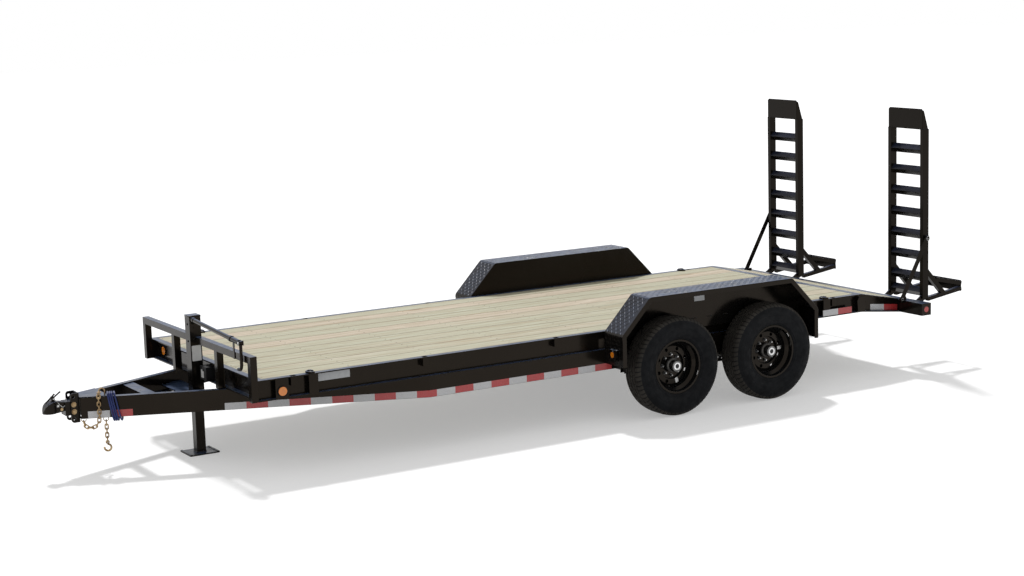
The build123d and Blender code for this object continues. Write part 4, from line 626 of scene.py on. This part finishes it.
def tongue_face(x, out, z):
    """A point beside the left tongue rail: x picks a place on its outer face."""
    return at(x, TONGUE_HALF - TONGUE_SLOPE * x, z) + OUTWARD * out


def mirrored(point, side):
    return Vector((point[0], point[1] * side, point[2]))


# -------------------- trailer cable
COIL_X = 0.757
COIL_PITCHES = (0.028, 0.0145, 0.0145, 0.0145)
COIL_POINTS = 12


def along_rail(s, out, z):
    return tongue_face(COIL_X, out, z) + ALONG * s


def coil_points():
    """Points of the turns round the left tongue rail, from the rear turn forwards."""
    found = []
    for k in range(COIL_POINTS * len(COIL_PITCHES)):
        angle = radians(180 + (k + 0.5) * 360 / COIL_POINTS)
        turn, part = divmod((k + 0.5) / COIL_POINTS, 1)
        done = sum(COIL_PITCHES[:int(turn)]) + part * COIL_PITCHES[int(turn)]
        wide, high = (copysign(abs(v) ** 0.55, v) for v in (cos(angle), sin(angle)))
        s = done - sum(COIL_PITCHES[:3]) + 0.0175 * high
        z = TONGUE_LOW + TONGUE_D / 2 + 0.104 * high
        found.append(along_rail(s, -FLANGE / 2 + 0.053 * wide, z))
    return found


PLUG_BACK = (0.104, -0.027, TONGUE_LOW + FLANGE_T + 0.0213)


def make_cable():
    first = [(-0.162, -0.019, 0.475), (-0.136, -0.019, 0.475), (-0.113, -0.034, 0.476),
             (-0.094, -0.055, 0.473), (-0.076, -0.071, 0.462)]
    last = [(0.019, -0.0785, 0.492), (0.024, -0.077, 0.462), (0.036, -0.069, 0.441),
            (0.056, -0.045, 0.429), (0.08, -0.027, PLUG_BACK[2]), PLUG_BACK]
    points = [along_rail(*p) for p in first] + coil_points() + [along_rail(*p) for p in last]
    data = bpy.data.curves.new("cable_run", "CURVE")
    data.dimensions = "3D"
    data.bevel_depth = 0.0065
    data.bevel_resolution = 4
    data.resolution_u = 8
    data.use_fill_caps = True
    spline = data.splines.new("NURBS")
    spline.points.add(len(points) - 1)
    for place, point in zip(spline.points, points):
        place.co = (*point, 1)
    spline.order_u = 3
    spline.use_endpoint_u = True
    data.materials.append(JACKET)
    cable = join_scene("cable_run", data)
    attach(cable, "chassis")
    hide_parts("trailer_cable")
    plug = make_plug()
    relief = make_relief(points[0])


def make_plug():
    """Round seven-way plug: nut, ribbed grip, key and face."""
    s = Shape()
    back = along_rail(*PLUG_BACK)
    nut = [(0.0072, -0.004), (0.0105, 0.0), (0.011, 0.01), (0.0098, 0.012), (0.0098, 0.026)]
    s.turned(nut, back, ALONG, 24)
    outline = [(TIP, 0.024), (0.015, 0.024), (0.0178, 0.028), (0.0178, 0.05)]
    outline += [(0.0205, 0.053), (0.0208, 0.064), (0.0196, 0.066), (0.0208, 0.068), (0.0208, 0.0875),
                (0.0185, 0.0879), (0.0185, 0.076), (TIP, 0.076)]
    s.turned(outline, back, ALONG, 40)
    side = ALONG.cross(UP).normalized()
    ribs = (12, (0.0176, 0.018), (0.03, 0.05), 0.0016, 6, 0)
    contacts = (6, (0.0115, 0.0115), (0.075, 0.086), 0.0018, 8, 1)
    for count, reach, ends, wire, corners, mat in (ribs, contacts):
        for a in turns(count):
            out = side * cos(a) + UP * sin(a)
            s.tube([back + out * r + ALONG * e for r, e in zip(reach, ends)], wire, corners, mat)
    s.tube([back + ALONG * 0.075, back + ALONG * 0.0865], 0.0026, 10, 1)
    return s.make("cable_plug", [SOFT_BLACK, ZINC], replaced=["trailer_plug"])


def make_relief(start):
    """Tapered boot where the cable leaves its clamp."""
    s = Shape()
    outline = [(0.0068, -0.002), (0.0125, -0.001), (0.0125, 0.003)]
    for k in range(5):
        z = 0.0045 + k * 0.0042
        r = 0.0116 - 0.0009 * k
        outline += [(r, z), (r, z + 0.0026), (r - 0.0015, z + 0.0028), (r - 0.0015, z + 0.004)]
    outline += [(0.0068, 0.0262)]
    s.turned(outline, start, ALONG, 24)
    return s.make("cable_boot", [SOFT_BLACK])


# -------------------- tape and labels
TAPE_X = 0.023  # front end of the tape on the lower rail
TAPE_STEP = 0.1545  # each colour's length along the rail
TAPE_N = 20  # its pieces, white and red by turns
TAPE_H = 0.0505
TAPE_T = 0.0005
STRIP_T = 0.0012  # strip behind the tape beside the rear of the fender


def make_tape(side_name):
    """White and red tape on the tongue, the lower rail, the rail behind the fender and the tail."""
    s = Shape()
    side = SIDES[side_name]

    def patch(a, b, out, mat):
        """A strip of tape over the line from a to b, on a face that looks out."""
        over = UP * TAPE_H
        corners = [mirrored(p, side) for p in (a, b, b + over, a + over)]
        s.slab(corners, mirrored(out * TAPE_T, side), mat)

    low = TONGUE_LOW + 0.0015
    for x0, x1, mat in ((0.914, 0.772, 0), (0.758, 0.624, 1)):
        patch(tongue_face(x0, 0, low), tongue_face(x1, 0, low), OUTWARD, mat)
    bend = -(RAIL_OUT - TONGUE_HALF) / TONGUE_SLOPE
    start = (TAPE_X - bend) * SLANT

    def on_rail(run):
        """A place on the lower rail's outer line, a run behind the tape's start."""
        if run < start:
            return tongue_face(TAPE_X - run / SLANT, 0, low), OUTWARD
        return at(bend - (run - start), RAIL_OUT, low), LEFT

    for k in range(TAPE_N):
        cuts = [k * TAPE_STEP, (k + 1) * TAPE_STEP]
        if cuts[0] < start < cuts[1]:
            cuts.insert(1, start)
        for a, b in zip(cuts, cuts[1:]):
            way = on_rail((a + b) / 2)[1]
            patch(on_rail(a + 1e-6)[0], on_rail(b - 1e-6)[0], way, k % 2)
    shelf = RAIL_LOW + FLANGE_T + 0.001
    over = shelf + TAPE_H + 0.003
    strip = ((-5.062, shelf), (-5.062, over), (-5.38, over), (-5.38, shelf))
    s.slab([mirrored(at(x, RAIL_OUT, z), side) for x, z in strip], (0, side * STRIP_T, 0), 2)
    face = RAIL_OUT + STRIP_T
    for x0, x1, mat in ((-5.067, -5.228, 0), (-5.228, -5.375, 1)):
        patch(at(x0, face, shelf), at(x1, face, shelf), LEFT, mat)
    tail_low = TAIL_TOP - 0.112

    def tail_shelf(x):
        part = (-x - DECK_L) / TAIL_L
        return RAIL_LOW + (tail_low - RAIL_LOW) * part + FLANGE_T + 0.002

    for x0, x1, mat in ((-5.62, -5.77, 0), (-5.77, -5.92, 1)):
        patch(at(x0, WEB_FACE, tail_shelf(x0)), at(x1, WEB_FACE, tail_shelf(x1)), LEFT, mat)
    s.make(f"{side_name}_tape", [TAPE_WHITE, TAPE_RED, PAINT], smooth=False)


def make_labels():
    """Plain blank labels on the rails, jack, battery box and fender walls."""
    s = Shape()
    for side in (1, -1):
        s.block(at(-0.73, side * WEB_FACE, 0.633), at(-0.468, side * (WEB_FACE + 0.0006), 0.69))
        y0, y1 = side * (FENDER_IN + 0.004), side * (FENDER_IN + 0.0047)
        s.block(at(-3.849, y0, 0.842), at(-3.749, y1, 0.887))
    s.block(at(JACK_X - 0.036, JACK_HALF, 0.7), at(JACK_X + 0.036, JACK_HALF + 0.0006, 0.815), 1)
    s.block(at(0.038, BOX_Y[0] + 0.014, 0.584), at(0.0387, BOX_Y[0] + 0.062, 0.644), 1)
    s.make("blank_labels", [LABEL_SILVER, LABEL_WHITE], smooth=False)


# -------------------- wheels
def make_tyre(place, side_name):
    """Radial trailer tyre: smooth sidewalls with thin ribs, and a tread with shoulder slots."""
    s = Shape()
    side = SIDES[side_name]
    centre = at(AXLE_X[place], side * TYRE_MID, TYRE_R)
    wall = [(0.2038, 0.056), (0.214, 0.0775), (0.2185, 0.087), (0.224, 0.0915), (0.23, 0.094),
            (0.233, 0.0985), (0.2375, 0.0995), (0.2405, 0.099), (0.254, 0.1062), (0.27, 0.1118),
            (0.288, 0.1144), (0.299, 0.1149), (0.3005, 0.1138), (0.302, 0.1148), (0.318, 0.1142),
            (0.334, 0.1118), (0.342, 0.11), (0.3435, 0.1086), (0.345, 0.1092), (0.356, 0.1052),
            (0.366, 0.0998), (0.374, 0.093), (0.3785, 0.087), (0.3815, 0.078), (0.382, 0.04)]
    outline = wall + [(r, -y) for r, y in reversed(wall)]
    inside = [(0.2038, 0.0559), (0.233, 0.078), (0.293, 0.098), (0.369, 0.08)]
    outline += [(r, -y) for r, y in inside] + inside[::-1]
    s.turned(outline, centre, LEFT, 96, closed=True)
    step = 2 * pi / TREAD_N
    top, floor = TYRE_R - 0.0004, 0.3812
    shoulder = [(0.052, top - 0.0006), (0.08, top - 0.0042), (0.0925, top - 0.0135),
                (0.101, top - 0.0235)]

    def spot(angle, y, r):
        return centre + Vector((cos(angle) * r, y, sin(angle) * r))

    def lug(corners, tops, lows):
        """A tread block: its footprint of (angle, y), and its corners' upper and lower radii."""
        n = len(corners)
        verts = [spot(a, y, r) for radii in (lows, tops) for (a, y), r in zip(corners, radii)]
        s.add(verts, [tuple(range(n, 2 * n)), *wall_faces(n)], 1, True)

    for k in range(TREAD_N):
        zig = 0.0028 if k % 2 else -0.0028
        for mid, half, lag in ((0.0, 0.0115, 0.0), (0.033, 0.012, 0.33), (-0.033, 0.012, 0.66)):
            b0, b1 = step * (k + 0.04 + lag), step * (k + 0.98 + lag)
            y0, y1 = mid - half, mid + half
            lug([(b0, y0 + zig), (b1, y0 - zig), (b1, y1 - zig), (b0, y1 + zig)], [top] * 4, [floor] * 4)
        for end, start in ((1, 0.1), (-1, 0.45)):
            b0, b1 = step * (k + start), step * (k + start + 0.8)
            skew = 0.1 * step
            for i, ((y0, r0), (y1, r1)) in enumerate(zip(shoulder, shoulder[1:])):
                foot = [(b0 + skew * i, end * y0), (b1 + skew * i, end * y0),
                        (b1 + skew * (i + 1), end * y1), (b0 + skew * (i + 1), end * y1)]
                tops = [r0, r0, r1, r1]
                first = 0.0095 if i == 0 else 0.006
                lug(foot, tops, [r0 - first, r0 - first, r1 - 0.006, r1 - 0.006])
    wheel = f"{place}_{side_name}"
    s.make(f"{wheel}_tread_tyre", [RUBBER, TREAD], f"{wheel}_wheel_unit",
           replaced=[f"{wheel}_tyre"])


def make_wheel_trim(place, side_name):
    """Nuts, grease cap with its ring and plug, valve, a balance weight and a plain tag."""
    s = Shape()
    side = SIDES[side_name]
    out = Vector((0, side, 0))
    centre = at(AXLE_X[place], side * TYRE_MID, TYRE_R)

    def spot(angle, radius, depth):
        return centre + Vector((cos(angle) * radius, side * depth, sin(angle) * radius))

    for a in turns(STUD_N):
        base = spot(a, STUD_R, -DISC_IN)
        s.disc(0.0135, 0, 0.003, base, out, 20, 3)
        s.turned([(0.012, 0.002), (0.012, 0.014), (0.0096, 0.017), (TIP, 0.017)], base, out, 6, 3, a)
        s.turned([(0.0064, 0.016), (0.0064, 0.022), (0.0052, 0.0235), (TIP, 0.0235)], base, out, 12)
    cap = spot(0, 0, 0)
    s.turned([(0.0442, 0.046), (0.0462, 0.047), (0.0462, 0.064), (0.044, 0.069), (0.039, 0.0704),
              (0.03, 0.0707), (TIP, 0.0707)], cap, out, 40, 3)
    ring = [(0.031, 0.07), (0.03, 0.0722), (0.0262, 0.0734), (0.0205, 0.073), (0.0172, 0.0716),
            (0.0172, 0.07)]
    s.turned(ring, cap, out, 40, 1, closed=True)
    s.turned([(0.0172, 0.0712), (0.014, 0.0722), (0.005, 0.0722), (TIP, 0.0718)], cap, out, 32, 2)
    s.turned([(0.0562, 0.004), (0.058, 0.0052), (0.0562, 0.0066)], cap, out, 40, 2)
    stem = radians(-64 if place == "front" else 12)
    s.tube([spot(stem, 0.17, 0.018), spot(stem, 0.166, 0.052)], [0.0055, 0.0038], 10, 2)
    s.tube([spot(stem, 0.166, 0.05), spot(stem, 0.1655, 0.058)], 0.0044, 10, 2)
    turn = radians(196 if place == "front" else 138)
    s.tube([spot(turn + 0.045 * i, 0.1985, 0.0815) for i in range(5)], 0.0032, 6)
    tag = radians(-108 if place == "front" else 178)
    wide = Vector((-sin(tag), 0, cos(tag)))
    inwards = Vector((cos(tag), 0, sin(tag)))
    mid = spot(tag, 0.13, 0.0222 - DISC_IN)
    s.slab([mid + wide * 0.013 * a + inwards * 0.019 * b for a, b in SQUARE], out * 0.0008)
    wheel = f"{place}_{side_name}"
    s.make(f"{wheel}_wheel_trim", [ZINC, CHROME, SOFT_BLACK, NUT], body=f"{wheel}_wheel_unit")


# -------------------- fenders
def fender_line(low=FENDER_KNEE - 0.03):
    """The fender's outline from front to rear, its corners rounded, as places at y = 0."""
    rear = FENDER_FRONT - FENDER_L
    steps = 8
    outline = ((FENDER_FRONT, low), (FENDER_FRONT, FENDER_KNEE), (FENDER_FRONT - FENDER_RUN, FENDER_TOP),
               (rear + FENDER_RUN, FENDER_TOP), (rear, FENDER_KNEE), (rear, low))
    corners = [at(x, 0, z) for x, z in outline]
    line = [corners[0]]
    for before, here, after in zip(corners, corners[1:], corners[2:]):
        back, ahead = (before - here).normalized(), (after - here).normalized()
        half = (pi - back.angle(ahead)) / 2
        centre = here + (back + ahead).normalized() * FENDER_BEND / cos(half)
        start = here + back * FENDER_BEND * tan(half) - centre
        for i in range(steps + 1):
            line.append(centre + Matrix.Rotation(-2 * half * i / steps, 3, "Y") @ start)
    return line + [corners[-1]]


def walk(line, pitch):
    """Evenly spaced places along a line, each with the line's direction there."""
    total = sum((b - a).length for a, b in zip(line, line[1:]))
    count = int(total / pitch)
    found, done = [], 0.0
    for a, b in zip(line, line[1:]):
        run = (b - a).length
        while len(found) < count and (goal := (len(found) + 0.5) * total / count) <= done + run:
            found.append((a.lerp(b, (goal - done) / run), (b - a).normalized()))
        done += run
    return found


def make_fender_tread(side_name):
    """Raised lozenges of tread plate over the fender's top, slopes and ends."""
    s = Shape()
    side = SIDES[side_name]
    pitch, long, wide, high = 0.03, 0.0165, 0.004, 0.0018
    rows = int((FENDER_OUT - FENDER_IN - 0.014) / pitch)
    for i, (spot, way) in enumerate(walk(fender_line(FENDER_LOW + 0.006), pitch)):
        out = Vector((way.z, 0, -way.x))
        for j in range(rows):
            mid = spot + Vector((0, FENDER_IN + 0.009 + (j + 0.5) * pitch, 0))
            along = (way + (LEFT if (i + j) % 2 else -LEFT)).normalized()
            across = out.cross(along)
            base = [mid + along * long, mid + across * wide, mid - along * long, mid - across * wide]
            ridge = [mid + along * long * 0.55 + out * high, mid - along * long * 0.55 + out * high]
            points = [mirrored(p, side) for p in base + ridge]
            s.add(points, [(0, 1, 5, 4), (2, 3, 4, 5), (1, 2, 5), (3, 0, 4)])
    s.make(f"{side_name}_fender_tread", [LOZENGE])


def make_fender_trim(side_name):
    """Rounded outer edge and weld beads of a fender, and its marker's bolts and grommet."""
    s = Shape()
    side = SIDES[side_name]
    edge = [p + Vector((0, side * (FENDER_OUT - 0.003), -0.0015)) for p in fender_line()]
    s.tube(edge, 0.003, 10)
    y, z = FENDER_IN + 0.0045, DECK_H + 0.002
    for k in range(9):
        x = FENDER_FRONT - FENDER_RUN - 0.1 - k * 0.155
        s.weld(side, (x, y, z), (x - 0.05, y, z), 0.0035)
    face = FENDER_FRONT + 0.028
    s.bolt(at(face + 0.0005, side * MARKER_Y, 0.5755), AHEAD, 0.0075, 0.004, 1)
    for y in (MARKER_Y - 0.03, MARKER_Y + 0.03):
        s.bolt(at(FENDER_FRONT + 0.014, side * y, 0.585), UP, 0.01, 0.005, 1)
    grommet = [(0.0226, 0), (0.0262, 0), (0.0262, 0.006), (0.0226, 0.0075)]
    s.turned(grommet, at(face, side * MARKER_Y, 0.548), AHEAD, 36, 2, closed=True)
    s.make(f"{side_name}_fender_trim", [FENDER, ZINC, GASKET])


# -------------------- frame fittings
def make_deck_screws():
    """Dark screws that hold the boards to each crossmember but the last, two to a board."""
    s = Shape()
    pitch = (2 * RAIL_IN - BOARD_GAP) / BOARD_N
    first = -FLANGE - 0.002 - CROSS_W
    step = (-DECK_L + 0.001 - first) / (CROSS_N - 1)
    head = [(0.0055, -0.001), (0.0055, 0.0003), (0.0042, 0.0008), (0.0014, 0.0008), (0.001, 0.0002),
            (TIP, 0.0002)]
    for row in range(CROSS_N - 1):
        x = first + row * step + CROSS_W / 2
        for i in range(BOARD_N):
            for k in (0.25, 0.75):
                y = -RAIL_IN + BOARD_GAP + i * pitch + (pitch - BOARD_GAP) * k
                s.turned(head, at(x, y, DECK_H), UP, 10)
    s.make("deck_screws", [SPRING])


def make_frame_welds():
    """Kink gussets, and weld beads of the headboard, tongue, rails and jack."""
    s = Shape()
    for side in (1, -1):
        x = -DECK_L
        outline = [(x - 0.044 * cos(a), 0.642 + 0.0455 * sin(a)) for a in (pi * k / 12 for k in range(13))]
        outline += [(x + 0.037, RAIL_LOW + FLANGE_T + 0.001), (x - 0.037, RAIL_LOW + 0.0015)]
        corners = [at(px, side * (RAIL_OUT - 0.0065), pz) for px, pz in outline]
        s.slab(corners, (0, side * 0.005, 0))
        z = DECK_H + 0.123
        for y in (0.3895, 0.4405, 0.9909):
            s.weld(side, (0.002, y, z), (0.048, y, z))
        for y in (0.39, 0.44):
            s.weld(side, (0, y, RAIL_LOW + 0.004), (0, y, DECK_H - 0.002))
        x = TONGUE_END - 0.001
        s.weld(side, (x, 0.0575, 0.405), (x, 0.0575, 0.55), 0.004)
        y, z = TONGUE_HALF - TONGUE_SLOPE * TONGUE_END, RAIL_LOW + 0.003
        rear = (TONGUE_END - 0.16, y + 0.16 * TONGUE_SLOPE - 0.0062, z)
        s.weld(side, rear, (TONGUE_END - 0.006, y - 0.005, z))
        y = RAIL_OUT - 0.0005
        for k in range(5):
            x = -1.45 - k * 0.72
            s.weld(side, (x, y, RAIL_LOW), (x - 0.06, y, RAIL_LOW), 0.0022)
    y = JACK_HALF + 0.001
    for z in (DECK_H + 0.125, DECK_H + 0.173):
        for side in (1, -1):
            s.weld(side, (0.003, y, z), (0.047, y, z))
    s.make("frame_welds", [PAINT])


def make_light_trim():
    """Black grommets of the front and side lights, and rims of the bumper's lights."""
    s = Shape()
    z = BUMPER_TOP - BUMPER_S / 2
    rail_ring = [(0.0325, 0), (0.0385, 0), (0.0385, 0.005), (0.036, 0.0075), (0.0325, 0.008)]
    end_ring = [(0.0245, 0), (0.029, 0), (0.029, -0.002), (0.0245, -0.002)]
    rear_ring = [(0.0192, 0), (0.0235, 0), (0.0235, 0.002), (0.0192, 0.0028)]
    for side in (1, -1):
        s.turned(rail_ring, at(-0.181, side * RAIL_OUT, 0.61), (0, side, 0), 44, closed=True)
        end = at(BUMPER_X - BUMPER_S / 2, side * (BUMPER_HALF - 0.0005), z)
        s.turned(end_ring, end, (0, side, 0), 36, closed=True)
        path = []
        middle, half, rim = 1.18, 0.054, 0.0305
        for a in turns(40):
            y = middle + copysign(half, cos(a)) + rim * cos(a)
            path.append(at(BUMPER_REAR + 0.0005, side * y, z + rim * sin(a)))
        s.tube(path, 0.0022, 6, loop=True)
    for y in (-0.15, 0, 0.15):
        s.turned(rear_ring, at(BUMPER_REAR, y, z), (-1, 0, 0), 32, closed=True)
    s.make("light_grommets", [GASKET])


def make_jack_trim():
    """Jack head's cap, gear cover and fasteners, and the weld beads at its carrier and its foot."""
    s = Shape()
    half = JACK_HALF
    cap = half + 0.0016
    s.block(at(JACK_X - cap, -cap, JACK_TOP - 0.012), at(JACK_X + cap, cap, JACK_TOP - 0.0002), 0, 0.0015)
    cover = [(0.03, 0), (0.03, 0.005), (0.026, 0.007), (TIP, 0.007)]
    s.turned(cover, at(JACK_X + 0.018, half, 1.006), LEFT, 32)
    s.disc(0.017, 0.006, 0.02, at(CRANK_X, half, CRANK_Z), LEFT, 28)
    for z in (0.972, 0.845, 0.62):
        s.bolt(at(JACK_X + half, 0, z), AHEAD, 0.012, 0.005)
    for z in (0.951, 0.862):
        s.bolt(at(JACK_X + 0.012, half, z), LEFT, 0.01, 0.004)
    z = CARRIER_TOP + 0.001
    s.weld(1, (JACK_X - half, half + 0.0005, z), (JACK_X + half, half + 0.0005, z))
    s.weld(1, (JACK_X + half + 0.0005, -half, z), (JACK_X + half + 0.0005, half, z))
    s.make("jack_trim", [JACK_PAINT])
    foot = Shape()
    for k in (-1, 1):
        outer, inner = JACK_X + 0.115 * k, JACK_X + 0.099 * k
        turned_up = [at(outer, -0.1, 0.0095), at(outer, 0.1, 0.0095),
                     at(inner, 0.1, 0.01), at(inner, -0.1, 0.01)]
        foot.slab(turned_up, (0, 0, 0.004))
    z = 0.0115
    for off in (-0.0355, 0.0355):
        foot.weld(1, (JACK_X + off, -0.035, z), (JACK_X + off, 0.035, z), 0.0035)
        foot.weld(1, (JACK_X - 0.035, off, z), (JACK_X + 0.035, off, z), 0.0035)
    foot.make("jack_foot_welds", [JACK_PAINT])


def crank_at(y):
    """The crank shaft's centre at y."""
    part = (y - JACK_HALF) / (CRANK_END - JACK_HALF)
    return at(CRANK_X, y, CRANK_Z - CRANK_FALL * part)


def make_crank():
    """Side crank: shaft with collars, clevis with its pin, and a hooked handle."""
    s = Shape()
    s.tube([crank_at(0.0455 + 0.0848 * k) for k in range(11)], CRANK_R, 20)
    for y0, y1, radius in ((0.06, 0.092, 0.019), (0.735, 0.752, 0.019), (0.788, 0.905, 0.0186)):
        s.tube([crank_at(y0), crank_at(y1)], radius, 20)
    end = crank_at(CRANK_END)
    for k in (-1, 1):
        low = end + Vector((k * 0.0118, -0.03, -0.015))
        s.block(low, end + Vector((k * 0.016, 0.013, 0.015)), 0, 0.002)
    s.bolt(end + AHEAD * 0.016, AHEAD, 0.014, 0.007, 1)
    s.bolt(end - AHEAD * 0.016, -AHEAD, 0.014, 0.006, 1)
    s.disc(0.0165, -0.01, 0.01, end, AHEAD, 24)
    low = end.z - 0.195
    hook = ((0, 0.03), (0.018, 0.002), (0.06, 0))
    path = [end, end - UP * 0.03] + [Vector((end.x, end.y - back, low + rise)) for back, rise in hook]
    s.tube(s.bent(path, 0.035, 8), 0.0118, 16)
    s.make("crank_assembly", [JACK_PAINT, ZINC], replaced=["jack_crank"])


def make_box_trim():
    """Battery box's lid seam, latch and front ribs."""
    s = Shape()
    y0, y1 = BOX_Y
    s.block(at(-0.043, y0 - 0.0005, 0.6505), at(0.0408, y1 + 0.0005, 0.6535), 0, 0.001)
    s.block(at(0.0385, y0 + 0.048, 0.635), at(0.0425, y0 + 0.067, 0.664), 0, 0.0015)
    for y in (y0 + 0.006, y1 - 0.006):
        s.tube([at(0.039, y, 0.57), at(0.039, y, 0.648)], 0.0022, 6)
    s.make("battery_box_trim", [SOFT_BLACK])


def make_coupler_trim():
    """Hexagon bolts of the coupler, and its latch's pin, wire clip and fasteners."""
    s = Shape()
    x = TONGUE_END + 0.04
    low, high = 0.402, 0.56  # the end holes of its bracket's row of four
    for z in (low + (high - low) / 3, high - (high - low) / 3):
        s.tube([at(x, -0.0705, z), at(x, 0.0645, z)], 0.0095, 16)
        for side in (1, -1):
            s.bolt(at(x, side * 0.057, z), (0, side, 0), 0.0255, 0.01)
        s.disc(0.0088, 0.01, 0.013, at(x, -0.057, z), (0, -1, 0), 16)
    s.make("coupler_bolt_set", [GOLD], replaced=["coupler_bolts"])
    t = Shape()
    ball = 1.157  # its socket's middle
    for side in (1, -1):
        y = side * 0.0335
        t.bolt(at(ball - 0.052, y, 0.508), (0, side, 0), 0.013, 0.006)
        t.bolt(at(ball - 0.078, y, 0.48), (0, side, 0), 0.015, 0.007, 1)
    clip = [(0.034, 0.015, 0.56), (0.06, 0.04, 0.52), (0.086, 0.043, 0.492), (0.112, 0.04, 0.524),
            (0.118, 0.025, 0.552)]
    t.tube(t.bent([at(ball - x, y, z) for x, y, z in clip], 0.015, 6), 0.0019, 8)
    t.tube([at(ball - 0.026, -0.022, 0.56), at(ball - 0.026, 0.022, 0.56)], 0.0045, 12)
    t.make("coupler_fittings", [ZINC, GOLD])


def make_ramp_trim(side_name):
    """Cleat welds, the tip plate's face and the brace pin fittings of a ramp."""
    side = SIDES[side_name]
    s = Shape()
    y0 = RAMP_MID - RAMP_W / 2 + RAMP_RAIL_W
    y1 = RAMP_MID + RAMP_W / 2 - RAMP_RAIL_W
    low = RAMP_TOP - TIP_H
    for z in [low - STEP_TOP - k * STEP_PITCH for k in range(STEP_N)] + [LOW_STEP_Z]:
        for y in (y0, y1):
            for k in (-1, 1):
                s.weld(side, (RAMP_FACE - 0.002, y, z + 0.001 * k),
                       (RAMP_FACE - STEP_REACH + 0.002, y, z + (STEP_REACH - 0.002) * k), 0.0026)
    x = RAMP_FACE + 0.0005
    s.weld(side, (x, y0 - 0.03, low), (x, y1 + 0.03, low), 0.0028)
    half = RAMP_W / 2 - 0.011
    cut = 0.015
    high = RAMP_TOP - 0.001
    outline = [(-half, low + 0.003), (half, low + 0.003), (half, RAMP_TOP - cut), (half - cut, high),
               (cut - half, high), (-half, RAMP_TOP - cut)]
    s.slab([at(RAMP_FACE + 0.0002, side * (RAMP_MID + y), z) for y, z in outline], (0.004, 0, 0))
    s.make(f"{side_name}_ramp_welds", [RAMP_PAINT], f"{side_name}_ramp")
    clip = Shape()
    top_pin = at(RAMP_FACE - RAMP_DEPTH / 2, side * BRACE_OUT, BRACE_TOP_Z)
    low_pin = at(BUMPER_X + 0.026, side * BRACE_OUT, BUMPER_TOP + 0.015)
    ring = [top_pin + Vector((0.016 * cos(a), side * 0.0035, 0.016 * sin(a) - 0.01)) for a in turns(24)]
    clip.tube(ring, 0.0019, 8, loop=True)
    clip.disc(0.0135, 0, 0.002, top_pin, (0, side, 0), 24)
    clip.turned([(0.0125, 0.0003), (0.0125, 0.0022), (0.0085, 0.0022)], low_pin, (0, side, 0), 24)
    clip.make(f"{side_name}_brace_fittings", [ZINC], f"{side_name}_ramp_brace")


def make_pin_heads():
    """Heads and washers of the ramps' hinge pins, on the bumper."""
    s = Shape()
    head = [(0.0165, 0), (0.0165, 0.0024), (0.012, 0.004), (TIP, 0.004)]
    x = BUMPER_REAR - 0.001
    for side in (1, -1):
        for end in (-1, 1):
            mid = RAMP_MID + end * (RAMP_W / 2 - RAMP_RAIL_W / 2)
            for k in (-1, 1):
                y = mid + k * 0.015
                s.turned(head, at(HINGE_X, side * y, HINGE_Z), (0, side * k, 0), 24)
                for low in (HINGE_Z - 0.026, HINGE_Z + 0.006):
                    s.weld(side, (x, y, low), (x, y, low + 0.02), 0.0026)
    s.make("hinge_pin_heads", [PAINT])


# -------------------- the whole scene
scene = bpy.context.scene
scene.view_settings.view_transform = "Standard"
make_camera()
make_light()
make_floor()
dress_nodes()
make_cable()
for side_word in SIDES:
    make_tape(side_word)
make_labels()
for axle_name in AXLE_X:
    for side_word in SIDES:
        make_tyre(axle_name, side_word)
        make_wheel_trim(axle_name, side_word)
for side_word in SIDES:
    make_fender_tread(side_word)
    make_fender_trim(side_word)
    make_ramp_trim(side_word)
make_deck_screws()
make_frame_welds()
make_light_trim()
make_jack_trim()
make_crank()
make_box_trim()
make_coupler_trim()
make_pin_heads()
